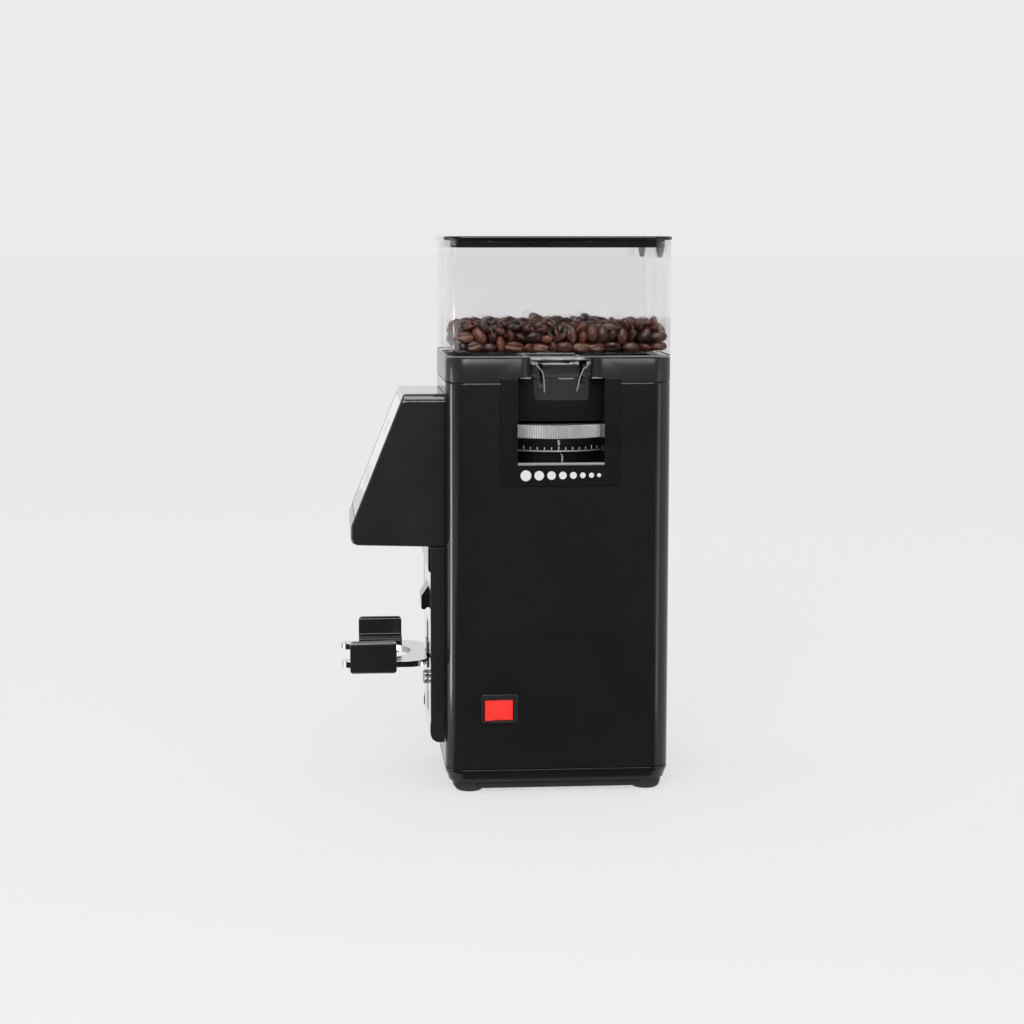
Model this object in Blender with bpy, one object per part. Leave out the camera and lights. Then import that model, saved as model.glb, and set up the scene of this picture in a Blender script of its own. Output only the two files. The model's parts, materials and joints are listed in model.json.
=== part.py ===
"""Compact doserless burr coffee grinder with a clear bean hopper, a stepped
adjustment ring behind a side window and a portafilter fork on its front.

Frame: +Z up, the portafilter side faces -Y, the adjustment window and the
mains switch are on +X. The origin is on the worktop, under the middle of the
whole machine. In the helpers, X and Z are millimetres in that frame and b is
the depth in millimetres behind the body's front face.
"""
import bpy
import bmesh
from math import pi, sin, cos, tan, radians, atan2, sqrt
from mathutils import Vector

# ---------------------------------------------------------------- dimensions
MM = 0.001
FRONT = -39.25            # the body's front face on Y
W2 = 60.0                 # half width of the body
DEPTH = 148.2             # depth of the body
CORNER = 14.0             # vertical corner radius
WALL = 2.0                # shell wall

SHELL_LOW, SHELL_TOP = 16.3, 271.6
COLLAR_LOW, COLLAR_TOP = 271.9, 287.7
HOPPER_LOW, HOPPER_FLOOR, HOPPER_TOP = 288.0, 291.0, 363.4
LID_LOW, LID_TOP = 363.7, 366.4
FOOT_X, FOOT_FRONT, FOOT_BACK, FOOT_R = 45.6, 15.9, 133.6, 10.6

AXIS_B = 75.0             # the motor, burrs and ring turn about X = 0, b = 75
RING_R = 45.0
RING_LOW, RING_TOP = 224.9, 242.5
BAND_LOW, BAND_TOP = 226.3, 233.5
CHAMBER_R = 42.0
BURR_R = 29.0

WIN_B0, WIN_B1 = 46.5, 103.4      # the adjustment window
BEZ_B0, BEZ_B1 = 35.4, 113.65     # its insert
BEZ_LOW, BEZ_SILL, BEZ_TOP = 204.3, 219.0, 274.7

SWITCH_B, SWITCH_Z = 34.35, 56.3  # the middle of the rocker
SWITCH_PIVOT_X = 60.6
ROCKER_TILT = 7.0                 # degrees each side of level

HOUSE_X = 44.0                    # half width of the front housing and column
COLUMN_FRONT = -9.6
FORK_LOW, FORK_TOP = 80.8, 84.8
FORK_HALF, FORK_IN = 36.0, 25.0
FORK_TIP, FORK_BACK = -68.0, -10.9
CLAMP_Z = 66.4
SHAFT_R = 5.0
GAP = 0.3                         # clearance between neighbouring pieces

# ----------------------------------------------------------------- materials
COLOURS = {
    "black_shell": ((0.012, 0.012, 0.012), 0.38, 0.0),
    "black_plastic": ((0.014, 0.014, 0.014), 0.45, 0.0),
    "black_gloss": ((0.010, 0.010, 0.010), 0.15, 0.0),
    "rubber": ((0.015, 0.015, 0.015), 0.85, 0.0),
    "clear": ((0.92, 0.92, 0.92), 0.06, 0.0),
    "glass_panel": ((0.03, 0.03, 0.035), 0.05, 0.0),
    "board": ((0.02, 0.10, 0.05), 0.60, 0.0),
    "polished_steel": ((0.75, 0.75, 0.74), 0.14, 1.0),
    "satin_steel": ((0.60, 0.60, 0.60), 0.38, 1.0),
    "hard_steel": ((0.42, 0.42, 0.43), 0.40, 1.0),
    "cast_alloy": ((0.55, 0.55, 0.56), 0.50, 1.0),
    "brass": ((0.70, 0.52, 0.22), 0.32, 1.0),
    "copper": ((0.60, 0.27, 0.13), 0.35, 1.0),
    "laminations": ((0.20, 0.20, 0.21), 0.55, 1.0),
    "red_switch": ((0.85, 0.04, 0.035), 0.30, 0.0),
    "white_plastic": ((0.75, 0.75, 0.72), 0.45, 0.0),
}


def material(name):
    found = bpy.data.materials.get(name)
    if found:
        return found
    colour, rough, metal = COLOURS[name]
    made = bpy.data.materials.new(name)
    made.use_nodes = True
    made.diffuse_color = (*colour, 1.0)
    shader = made.node_tree.nodes["Principled BSDF"]
    shader.inputs["Base Color"].default_value = (*colour, 1.0)
    shader.inputs["Roughness"].default_value = rough
    shader.inputs["Metallic"].default_value = metal
    if name == "clear":
        shader.inputs["Transmission Weight"].default_value = 1.0
        shader.inputs["IOR"].default_value = 1.49
    return made


# ------------------------------------------------------------------- helpers
def P(x, b, z):
    return Vector((x * MM, (b + FRONT) * MM, z * MM))


def rect(x0, x1, y0, y1):
    return [(x0, y0), (x1, y0), (x1, y1), (x0, y1)]


def rounded(points, radii, n=5):
    """An outline with its corners rounded: one radius, or one for each corner."""
    count = len(points)
    if not hasattr(radii, "__len__"):
        radii = [radii] * count
    out = []
    for i in range(count):
        p = Vector(points[i])
        a = Vector(points[i - 1])
        c = Vector(points[(i + 1) % count])
        r = radii[i]
        if r <= 0:
            out.append((p.x, p.y))
            continue
        u, v = (a - p).normalized(), (c - p).normalized()
        half = u.angle(v) / 2
        t = r / tan(half)
        centre = p + (u + v).normalized() * (r / sin(half))
        s, e = p + u * t - centre, p + v * t - centre
        a0, a1 = atan2(s.y, s.x), atan2(e.y, e.x)
        while a1 - a0 > pi:
            a1 -= 2 * pi
        while a1 - a0 < -pi:
            a1 += 2 * pi
        for k in range(n + 1):
            w = a0 + (a1 - a0) * k / n
            out.append((centre.x + r * cos(w), centre.y + r * sin(w)))
    return out


def circle(x, y, r, n, start=0.0):
    return [(x + r * cos(start + 2 * pi * k / n), y + r * sin(start + 2 * pi * k / n)) for k in range(n)]


def skin(rings, closed=False):
    """Faces between rings of equal count, capped at both ends or closed on itself."""
    bm = bmesh.new()
    rows = [[bm.verts.new(p) for p in ring] for ring in rings]
    n = len(rows[0])
    pairs = list(zip(rows, rows[1:]))
    if closed:
        pairs.append((rows[-1], rows[0]))
    for low, high in pairs:
        for i in range(n):
            j = (i + 1) % n
            bm.faces.new((low[i], low[j], high[j], high[i]))
    if not closed:
        bm.faces.new(list(reversed(rows[0])))
        bm.faces.new(rows[-1])
    bmesh.ops.recalc_face_normals(bm, faces=bm.faces[:])
    return bm


def place(axis, p, t):
    if axis == "Z":
        return P(p[0], p[1], t)
    if axis == "X":
        return P(t, p[0], p[1])
    return P(p[0], t, p[1])


def extrude(outline, lo, hi, axis="Z", bevel=0.0, steps=2):
    """A prism. The outline is (x, b) along Z, (b, z) along X and (x, z) along Y."""
    bm = skin([[place(axis, p, lo) for p in outline], [place(axis, p, hi) for p in outline]])
    if bevel > 0:
        ends = [f for f in bm.faces if len(f.verts) == len(outline) and len(outline) > 4]
        if not ends:
            flat = {"X": 0, "Y": 1, "Z": 2}[axis]
            ends = [f for f in bm.faces if abs(f.normal[flat]) > 0.99]
        edges = {e for f in ends for e in f.edges}
        bmesh.ops.bevel(bm, geom=list(edges), offset=bevel * MM, offset_type="OFFSET", segments=steps, profile=0.5, affect="EDGES")
        bmesh.ops.recalc_face_normals(bm, faces=bm.faces[:])
    return bm


def box(x0, x1, b0, b1, z0, z1):
    return extrude(rect(x0, x1, b0, b1), z0, z1)


def tube(outer, inner, lo, hi, axis="Z"):
    """A wall between two outlines of equal count."""
    return skin([[place(axis, p, lo) for p in outer], [place(axis, p, hi) for p in outer],
                 [place(axis, p, hi) for p in inner], [place(axis, p, lo) for p in inner]], closed=True)


def turned(profile, n, x=0.0, b=AXIS_B, axis="Z", wave=None):
    """A turned piece from a closed (radius, height) profile. A profile that
    touches the axis starts and ends on it. wave moves a point up with its angle."""
    bm = bmesh.new()
    rows = []
    for i, (r, h) in enumerate(profile):
        if r < 1e-9:
            rows.append([bm.verts.new(P(x, b, h) if axis == "Z" else P(x, h, b))])
            continue
        row = []
        for k in range(n):
            w = 2 * pi * k / n
            up = h + (wave(i, k) if wave else 0.0)
            row.append(bm.verts.new(P(x + r * cos(w), b + r * sin(w), up) if axis == "Z"
                                    else P(x + r * cos(w), up, b + r * sin(w))))
        rows.append(row)
    for i in range(len(rows)):
        low, high = rows[i], rows[(i + 1) % len(rows)]
        if len(low) == 1 and len(high) == 1:
            continue
        for k in range(n):
            j = (k + 1) % n
            face = ([low[0]] if len(low) == 1 else [low[k], low[j]]) + ([high[0]] if len(high) == 1 else [high[j], high[k]])
            bm.faces.new(face)
    bmesh.ops.recalc_face_normals(bm, faces=bm.faces[:])
    return bm


def as_object(bm, name):
    mesh = bpy.data.meshes.new(name)
    bm.to_mesh(mesh)
    bm.free()
    obj = bpy.data.objects.new(name, mesh)
    bpy.context.scene.collection.objects.link(obj)
    return obj


def combine(bm, *steps):
    """The solid after each (operation, tool) of steps, with exact Booleans."""
    base = as_object(bm, "base_solid")
    for operation, tool_bm in steps:
        tool = as_object(tool_bm, "tool_solid")
        change = base.modifiers.new("combine", "BOOLEAN")
        change.operation = operation
        change.solver = "EXACT"
        change.object = tool
        bpy.context.view_layer.update()
        graph = bpy.context.evaluated_depsgraph_get()
        fresh = bpy.data.meshes.new_from_object(base.evaluated_get(graph))
        base.modifiers.clear()
        base.data = fresh
        bpy.data.objects.remove(tool, do_unlink=True)
    out = bmesh.new()
    out.from_mesh(base.data)
    bpy.data.objects.remove(base, do_unlink=True)
    bmesh.ops.remove_doubles(out, verts=out.verts[:], dist=1e-6)
    bmesh.ops.dissolve_limit(out, angle_limit=radians(0.2), verts=out.verts[:], edges=out.edges[:])
    bmesh.ops.dissolve_degenerate(out, dist=1e-6, edges=out.edges[:])
    return out


def cut(tool):
    return ("DIFFERENCE", tool)


def add(tool):
    return ("UNION", tool)


def node(name, bm, colour, origin=None):
    """A finished piece, with its origin on its joint where it moves."""
    at = P(*origin) if origin else Vector((0, 0, 0))
    bmesh.ops.translate(bm, verts=bm.verts[:], vec=-at)
    obj = as_object(bm, name)
    obj.location = at
    obj.data.materials.append(material(colour))
    obj.data.shade_smooth()
    obj.data.set_sharp_from_angle(angle=radians(32))
    return obj


def outline(inset, radius=None, n=5):
    """The body's outline, moved in by inset."""
    r = max(CORNER - inset, 3.0) if radius is None else radius
    return rounded(rect(-W2 + inset, W2 - inset, inset, DEPTH - inset), r, n)


def ring_at(inset, z, radius=None, n=5):
    return [P(x, b, z) for x, b in outline(inset, radius, n)]


def inset_polygon(points, amounts):
    """A convex polygon with edge i, from point i to the next, moved in by amounts[i]."""
    count = len(points)
    area = sum(points[i][0] * points[(i + 1) % count][1] - points[(i + 1) % count][0] * points[i][1] for i in range(count))
    turn = 1.0 if area > 0 else -1.0
    lines = []
    for i in range(count):
        a, c = Vector(points[i]), Vector(points[(i + 1) % count])
        d = (c - a).normalized()
        inward = Vector((-d.y, d.x)) * turn
        lines.append((a + inward * amounts[i], d))
    out = []
    for i in range(count):
        (a, d), (c, e) = lines[i - 1], lines[i]
        cross = d.x * e.y - d.y * e.x
        k = ((c - a).x * e.y - (c - a).y * e.x) / cross
        p = a + d * k
        out.append((p.x, p.y))
    return out


for old in list(bpy.data.objects):
    bpy.data.objects.remove(old, do_unlink=True)

# ------------------------------------------------------------ body and base
shell = combine(
    tube(outline(0.0), outline(WALL), SHELL_LOW, SHELL_TOP),
    cut(box(56, 62, BEZ_B0 - GAP, BEZ_B1 + GAP, BEZ_LOW - GAP, 280)),
    cut(box(56, 62, 23.3, 46.3, 48.3, 66.0)),
    cut(box(-26, 26, -1, 4, 108, 232)),
    cut(box(-14.3, 14.3, DEPTH - 3.5, DEPTH + 1.5, 33.7, 56.3)),
    *[cut(box(-30, 30, DEPTH - 3.5, DEPTH + 1.5, 84 + 8 * k, 87.2 + 8 * k)) for k in range(6)],
)
node("body_shell", shell, "black_shell")

tray = combine(
    skin([ring_at(10.0, 2.3, 6.0), ring_at(5.6, 2.4, 8.6), ring_at(4.9, 3.4, 9.2), ring_at(4.4, 7.1, 9.6), ring_at(2.5, 7.4, 11.5),
          ring_at(1.3, 10.8, 12.7), ring_at(0.0, 13.5), ring_at(0.0, SHELL_LOW - GAP), ring_at(2.4, SHELL_LOW - GAP), ring_at(2.4, 21.0),
          ring_at(4.4, 21.0), ring_at(4.4, 10.5)]),
    *[cut(turned([(0, -1), (FOOT_R + GAP, -1), (FOOT_R + GAP, 7.2), (0, 7.2)], 24, sx * FOOT_X, b))
      for sx in (-1, 1) for b in (FOOT_FRONT, FOOT_BACK)],
    *[cut(turned([(0, 1), (4.2, 1), (4.2, 5.2), (2.3, 5.2), (2.3, 12), (0, 12)], 12, sx * 46.0, b))
      for sx in (-1, 1) for b in (60.0, 90.0)],
)
node("base_tray", tray, "black_plastic")

FOOT = [(0, 0), (7.6, 0), (9.3, 0.9), (10.2, 2.6), (FOOT_R, 5.0), (FOOT_R, 6.9), (0, 6.9)]
for label, sx, b in (("front_right", 1, FOOT_FRONT), ("front_left", -1, FOOT_FRONT),
                     ("rear_right", 1, FOOT_BACK), ("rear_left", -1, FOOT_BACK)):
    node("foot_" + label, turned(FOOT, 18, sx * FOOT_X, b), "rubber")
for k, (sx, b) in enumerate(((1, 60.0), (-1, 60.0), (1, 90.0), (-1, 90.0))):
    node("base_screw_%d" % (k + 1), turned([(0, 2.9), (3.7, 2.9), (3.7, 4.8), (1.95, 4.8), (1.95, 14.5), (0, 14.5)], 12, sx * 46.0, b), "satin_steel")

collar = combine(
    tube(outline(0.0), outline(3.0), COLLAR_LOW, COLLAR_TOP),
    add(box(-58, 33, 2, DEPTH - 2.0, 273.2, 276.0)),
    add(box(38, 58.5, 47.5, 60, 275.3, COLLAR_TOP)),
    add(box(38, 58.5, 90, 102.4, 275.3, COLLAR_TOP)),
    cut(box(30, 62, 55.5, 94.6, 270, 290)),
    cut(box(56, 62, BEZ_B0 - GAP, BEZ_B1 + GAP, 270, BEZ_TOP + GAP)),
    cut(turned([(0, 270), (27.2, 270), (27.2, 280), (0, 280)], 32)),
)
node("top_collar", collar, "black_plastic")

# ------------------------------------------- adjustment window on the side
bezel = combine(
    extrude([(BEZ_B0, BEZ_LOW), (BEZ_B1, BEZ_LOW), (BEZ_B1, BEZ_TOP), (WIN_B1, BEZ_TOP), (WIN_B1, BEZ_SILL),
             (WIN_B0, BEZ_SILL), (WIN_B0, BEZ_TOP), (BEZ_B0, BEZ_TOP)], 57.4, 60.2, "X"),
    add(box(36.9, 58, 44.5, WIN_B0, 216.8, 274.3)),
    add(box(36.9, 58, WIN_B1, 105.4, 216.8, 274.3)),
    add(combine(box(37.5, 58, 45, 105, 216.8, BEZ_SILL),
                cut(turned([(0, 215), (46, 215), (46, 221), (0, 221)], 48)))),
    add(box(50, 59, 75.0, 76.2, 218.0, 224.5)),
)
node("side_bezel", bezel, "black_plastic")
panel = combine(
    box(34, 35.7, 44.8, 105.2, 244.8, 272.6),
    add(box(35.0, 37.5, 47.2, 102.7, 244.8, 246.6)),
)
node("recess_panel", panel, "black_plastic")

# -------------------------------------------------------------------- hopper
PLATE_B0, PLATE_B1 = 56.1, 93.9
hopper = combine(
    skin([ring_at(2.5, HOPPER_FLOOR - 2.0), ring_at(2.5, HOPPER_LOW), ring_at(0.0, HOPPER_LOW), ring_at(0.0, HOPPER_TOP),
          ring_at(2.5, HOPPER_TOP), ring_at(2.5, HOPPER_FLOOR)]),
    add(box(-56, 33, 53, 97, 280.5, HOPPER_FLOOR - 1.5)),
    add(turned([(0, 262), (21.8, 262), (21.8, 281.5), (0, 281.5)], 36)),
    cut(box(-62, 40, PLATE_B0 - GAP, PLATE_B1 + GAP, 283.2, 286.4)),
    cut(turned([(0, 260), (18, 260), (18, 296), (0, 296)], 36)),
)
node("hopper_body", hopper, "clear", (0, AXIS_B, HOPPER_LOW))

HANDLE = [(57.6, 260.4), (92.5, 260.4), (93.3, 276.5), (94.15, 277.3), (94.15, 286.5), (55.95, 286.5), (55.95, 277.3), (56.8, 276.5)]
shutter = combine(
    box(-54, 56, PLATE_B0, PLATE_B1, 283.5, 286.1),
    add(extrude(rounded(HANDLE, [1.5, 1.5, 0, 0, 0, 0, 0, 0], 2), 55.0, 58.0, "X")),
    add(extrude([(55.5, 268), (55.5, 284), (41, 284)], 61.0, 63.0, "Y")),
    add(extrude([(55.5, 268), (55.5, 284), (41, 284)], 87.0, 89.0, "Y")),
    cut(turned([(0, 282), (17.5, 282), (17.5, 288), (0, 288)], 32)),
)
node("hopper_shutter", shutter, "clear", (0, AXIS_B, 284.8))


def lid_ring(inset, z):
    r = max(14.6 - inset, 5.0)
    return [P(x, b, z) for x, b in rounded(rect(-60.7 + inset, 60.7 - inset, -1.2 + inset, DEPTH + 0.5 - inset), r, 5)]


def peg(x):
    low = [P(px, pb, 352.5) for px, pb in rect(x - 1.7, x + 1.7, DEPTH - 7.6, DEPTH - 4.3)]
    high = [P(px, pb, 363.9) for px, pb in rect(x - 2.6, x + 2.6, DEPTH - 8.5, DEPTH - 3.5)]
    return skin([low, high])


lid = combine(
    skin([lid_ring(0.9, LID_TOP), lid_ring(0.25, LID_TOP - 0.3), lid_ring(0.0, LID_TOP - 0.9), lid_ring(0.0, 364.6), lid_ring(0.9, LID_LOW),
          lid_ring(4.7, LID_LOW), lid_ring(4.7, 359.0), lid_ring(6.7, 359.0), lid_ring(6.7, 363.9)]),
    add(peg(38)),
    add(peg(-38)),
)
node("hopper_lid", lid, "black_gloss", (0, AXIS_B, LID_LOW))

# ------------------------------------------------- front housing and column
HOUSE = [(-GAP, 263.5), (-27.0, 263.5), (-61.8, 176.5), (-62.0, 168.2), (-60.9, 165.4), (-58.0, 164.0), (-GAP, 162.3)]
HOUSE_R = [6.0, 3.0, 3.0, 3.0, 3.0, 3.0, 0.0]       # edge radii, from the top edge on


def house_section(x):
    amounts = []
    for r in HOUSE_R:
        over = abs(x) - (HOUSE_X - r)
        amounts.append(r - sqrt(max(r * r - over * over, 0.0)) if r > 0 and over > 0 else 0.0)
    return [P(x, b, z) for b, z in inset_polygon(HOUSE, amounts)]


SLOPE_TOP = Vector((-27.0, 263.5))
SLOPE_D = (Vector((-61.8, 176.5)) - SLOPE_TOP).normalized()
SLOPE_N = Vector((-SLOPE_D.y, SLOPE_D.x))          # into the housing


def slope_plate(s0, s1, d0, d1, half):
    """A plate along the sloped front: s runs down the slope, d is the depth behind it."""
    corners = [SLOPE_TOP + SLOPE_D * s + SLOPE_N * d for s, d in ((s0, d0), (s1, d0), (s1, d1), (s0, d1))]
    return extrude([(c.x, c.y) for c in corners], -half, half, "X")


stations = [-44.0, -43.0, -41.0, -38.0, 38.0, 41.0, 43.0, 44.0]
housing = combine(
    skin([house_section(x) for x in stations]),
    cut(extrude([(1, 261.1), (-22.8, 261.1), (-56.4, 177), (-57.2, 170.2), (-53.5, 166.2), (1, 164.6)], -41.6, 41.6, "X")),
    cut(slope_plate(4.8, 88.0, -2.0, 2.4, 40.3)),
    cut(slope_plate(9.0, 84.0, 1.0, 7.0, 36.0)),
    cut(box(-15.6, 15.6, -54.1, -29.9, 160, 170)),
)
node("front_housing", housing, "black_plastic")
node("display_panel", slope_plate(5.1, 87.7, 0.1, 2.1, 40.0), "glass_panel")
board = combine(
    slope_plate(12, 72, 5.6, 7.2, 34.0),
    add(slope_plate(26, 40, 7.0, 10.0, 8.0)),
    add(slope_plate(50, 58, 7.0, 11.5, 20.0)),
)
node("display_board", board, "board")

COLUMN = [(-GAP, 162.0), (COLUMN_FRONT, 162.0), (COLUMN_FRONT, 112.0), (-8.9, 56.0), (-9.9, 42.5), (-9.9, 38.0), (-8.6, 33.4), (-5.6, 31.4), (-GAP, 31.4)]
column = combine(
    extrude(COLUMN, -HOUSE_X, HOUSE_X, "X"),
    cut(box(-41.3, 41.3, -14, -8.1, 33.7, 165)),
    cut(box(-41.0, 41.0, -6.0, 2, 36, 160)),
    cut(box(-10.5, 10.5, -14, 2, 42.5, 105.5)),
    cut(box(-12.0, 12.0, -14, 2, 114.5, 132.5)),
)
node("front_column", column, "black_plastic")


def chamfered_slot(half, z0, z1):
    """A slot through the face plate whose edges open out by 1.1 mm towards the front."""
    return skin([[P(x, -9.8, z) for x, z in rect(-half - 1.4, half + 1.4, z0 - 1.4, z1 + 1.4)],
                 [P(x, -8.1, z) for x, z in rect(-half + 0.3, half - 0.3, z0 + 0.3, z1 - 0.3)]])


face = combine(
    box(-41, 41, COLUMN_FRONT + 0.1, -8.4, 34.0, 144.6),
    cut(chamfered_slot(10.7, 42.3, 105.7)),
    cut(chamfered_slot(12.2, 114.3, 132.7)),
)
node("column_face_plate", face, "polished_steel")
node("column_top_trim", extrude(rounded([(-8.4, 161.8), (-11.0, 161.8), (-11.0, 145.0), (-8.4, 145.0)], [0, 0.6, 1.8, 0], 3), -40.8, 40.8, "X"), "black_plastic")

chute = combine(
    extrude([(32.6, 214.5), (18, 214.5), (-36, 196), (-53.5, 181.6), (-53.5, 164.0), (-30.5, 164.0), (-30.5, 174), (12, 194.5), (32.6, 194.5)], -15, 15, "X"),
    cut(extrude([(34, 212), (18.6, 212), (-35, 193.4), (-51, 180.4), (-51, 160), (-33, 160), (-33, 175.6), (11.4, 197), (34, 197)], -12, 12, "X")),
)
node("outlet_chute", chute, "black_plastic")

# -------------------------------------------------- fork, trigger and switch
carriage = combine(
    box(-10.0, 10.0, -9.0, -5.4, 56, 92),
    add(box(-10.0, 10.0, -10.3, -5.4, 75, 92)),
    add(box(-15.0, 15.0, -5.6, -3.4, 58, 90)),
    cut(box(-7.4, 7.4, -12, -6.2, FORK_LOW - 0.1, FORK_TOP + 0.1)),
    cut(turned([(0, -12), (2.8, -12), (2.8, -1), (0, -1)], 16, 0, CLAMP_Z, "Y")),
)
node("fork_carriage", carriage, "black_plastic")

arc = [(FORK_IN * cos(w), -46.0 + FORK_IN * sin(w)) for w in [pi * k / 14 for k in range(15)]]
fork_outline = (rounded([(-FORK_HALF, FORK_TIP), (-FORK_IN, FORK_TIP), (-FORK_IN, -47.0), (FORK_IN, -47.0), (FORK_IN, FORK_TIP),
                         (FORK_HALF, FORK_TIP), (FORK_HALF, FORK_BACK), (-FORK_HALF, FORK_BACK)],
                        [5.4, 5.4, 0, 0, 5.4, 5.4, 13.0, 13.0], 4))
cornered = [p for p in fork_outline if not (abs(abs(p[0]) - FORK_IN) < 1e-6 and abs(p[1] + 47.0) < 1e-6)]
first_right = next(i for i, p in enumerate(cornered) if p[0] > 0)
fork_outline = cornered[:first_right] + list(reversed(arc)) + cornered[first_right:]
fork = combine(
    extrude(fork_outline, FORK_LOW, FORK_TOP, "Z", 0.5, 1),
    add(box(-7.0, 7.0, -13.0, -6.6, FORK_LOW + 0.3, FORK_TOP - 0.3)),
)
node("portafilter_fork", fork, "polished_steel")

PAD_R = [0.6, 2.6, 2.0, 1.6, 0.0, 1.2, 0.6, 0.0, 0.0, 0.6]


def fork_pad(side, b0, b1, low, top):
    """A rubber pad that clips over one arm of the fork, with rounded ends."""
    section = [(30.5, low), (41.8, low), (41.8, top), (37.0, top), (37.0, 88.4), (28.0, 88.4), (28.0, 85.2), (36.4, 85.2), (36.4, 80.4), (30.5, 80.4)]
    ends = extrude(rounded(rect(b0, b1, low - 0.01, top + 0.01), 2.4, 3), side * 27.0, side * 43.0, "X")
    return combine(extrude(rounded([(side * x, z) for x, z in section], PAD_R, 3), b0, b1, "Y"), ("INTERSECT", ends))


node("fork_pad_right", fork_pad(1, -62.8, -32.0, 77.4, 99.2), "black_gloss")
node("fork_pad_left", fork_pad(-1, -55.7, -25.8, 77.4, 101.4), "black_gloss")
node("fork_clamp_screw", turned([(0, -12.6), (4.1, -12.6), (4.65, -12.1), (4.65, -9.4), (2.4, -9.4), (2.4, -2.0), (0, -2.0)], 20, 0, CLAMP_Z, "Y"),
     "polished_steel", (0, -9.4, CLAMP_Z))

TRIGGER = [(-5.4, 132.0), (-9.0, 132.0), (-14.2, 124.3), (-14.2, 115.9), (-13.4, 115.1), (-11.6, 115.1), (-10.2, 116.4), (-5.4, 116.4)]
trigger = combine(
    extrude(TRIGGER, -11.5, 11.5, "X"),
    add(box(-14, 14, -5.6, -3.8, 113, 134)),
)
node("start_trigger", trigger, "black_plastic", (0, -5.6, 123.5))
switch = combine(
    box(-6, 6, 2.6, 14, 118, 130),
    add(box(-1.5, 1.5, 0.2, 3.0, 121.5, 125.5)),
)
node("start_microswitch", switch, "black_gloss")

switch_bezel = combine(
    box(60.3, 61.5, 22.6, 47.0, 47.6, 66.7),
    add(box(46, 60.5, 23.6, 46.0, 48.6, 65.7)),
    cut(box(48, 63, SWITCH_B - 9.75, SWITCH_B + 9.75, 49.2, 63.4)),
)
node("rocker_bezel", switch_bezel, "black_plastic")
tilt = radians(ROCKER_TILT)
button = []
for v, u in ((1.2, -9.3), (0.05, 0.0), (1.2, 9.3), (-1.0, 9.3), (-7.0, 6.3), (-7.0, -6.3), (-1.0, -9.3)):
    button.append((SWITCH_PIVOT_X + v * cos(tilt) - u * sin(tilt), SWITCH_B + v * sin(tilt) + u * cos(tilt)))
node("rocker_button", extrude(button, 49.6, 63.0), "red_switch", (SWITCH_PIVOT_X, SWITCH_B, SWITCH_Z))

inlet = combine(
    extrude(rounded(rect(-16, 16, 32.5, 57.5), 2.5, 2), DEPTH + 0.3, DEPTH + 1.7, "Y"),
    add(box(-14, 14, DEPTH - 17.5, DEPTH + 0.7, 34, 56)),
    cut(extrude([(-12, 38), (12, 38), (12, 48.5), (8.5, 52), (-8.5, 52), (-12, 48.5)], DEPTH - 14.5, DEPTH + 3.5, "Y")),
    add(box(-7.9, -6.1, DEPTH - 15.5, DEPTH - 4.1, 42, 46)),
    add(box(6.1, 7.9, DEPTH - 15.5, DEPTH - 4.1, 42, 46)),
    add(box(-0.9, 0.9, DEPTH - 15.5, DEPTH - 4.1, 46, 50)),
)
node("power_inlet", inlet, "black_plastic")

# ----------------------------------------------------------- frame and motor
frame = combine(
    extrude([(-52.5, 10.8), (-40, 10.8), (-40, 13.2), (-50.2, 13.2), (-50.2, 188.2), (50.2, 188.2), (50.2, 13.2), (40, 13.2),
             (40, 10.8), (52.5, 10.8), (52.5, 190.7), (-52.5, 190.7)], 48, 102, "Y"),
    cut(turned([(0, 180), (8, 180), (8, 195), (0, 195)], 24)),
    *[cut(turned([(0, 9), (2.3, 9), (2.3, 15), (0, 15)], 12, sx * 46.0, b)) for sx in (-1, 1) for b in (60.0, 90.0)],
)
node("inner_frame", frame, "satin_steel")

BELL = [(6.5, 187.9), (46, 187.9), (46, 165.4), (41.5, 165.4), (41.5, 181), (16, 181), (16, 176.5), (13.3, 176.5), (13.3, 185), (6.5, 185)]
node("motor_end_bell_top", turned(BELL, 32), "cast_alloy")
node("motor_end_bell_bottom", turned([(r, 285 - z) for r, z in BELL], 32), "cast_alloy")
node("motor_bearing_top", turned([(5.35, 176.9), (12.9, 176.9), (12.9, 184.7), (5.35, 184.7)], 24), "hard_steel")
node("motor_bearing_bottom", turned([(5.35, 100.3), (12.9, 100.3), (12.9, 108.1), (5.35, 108.1)], 24), "hard_steel")
node("motor_stator", turned([(23.5, 120), (44, 120), (44, 165), (23.5, 165)], 36), "laminations")
COIL = [(26, 165.3), (40.5, 165.3), (40.5, 173), (38, 175.8), (29, 175.8), (26, 173)]
node("motor_winding_top", turned(COIL, 28), "copper")
node("motor_winding_bottom", turned([(r, 285 - z) for r, z in COIL], 28), "copper")
node("motor_rotor", turned([(5.35, 118), (22.6, 118), (22.6, 167), (5.35, 167)], 36), "laminations", (0, AXIS_B, 142.5))
node("motor_shaft", turned([(0, 78), (SHAFT_R - 0.6, 78), (SHAFT_R, 78.6), (SHAFT_R, 213.4), (SHAFT_R - 0.6, 214), (0, 214)], 24), "satin_steel", (0, AXIS_B, 142.5))

blades, star, hub = 9, [], []
for k in range(blades):
    for turn, r in ((0.0, 12.0), (4.0, 33.0), (12.0, 34.0), (24.0, 12.0)):
        w = radians(360.0 * k / blades + turn)
        star.append((r * cos(w), AXIS_B + r * sin(w)))
        hub.append((5.35 * cos(w), AXIS_B + 5.35 * sin(w)))
node("motor_fan", tube(star, hub, 82, 92), "black_plastic", (0, AXIS_B, 87))

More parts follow.
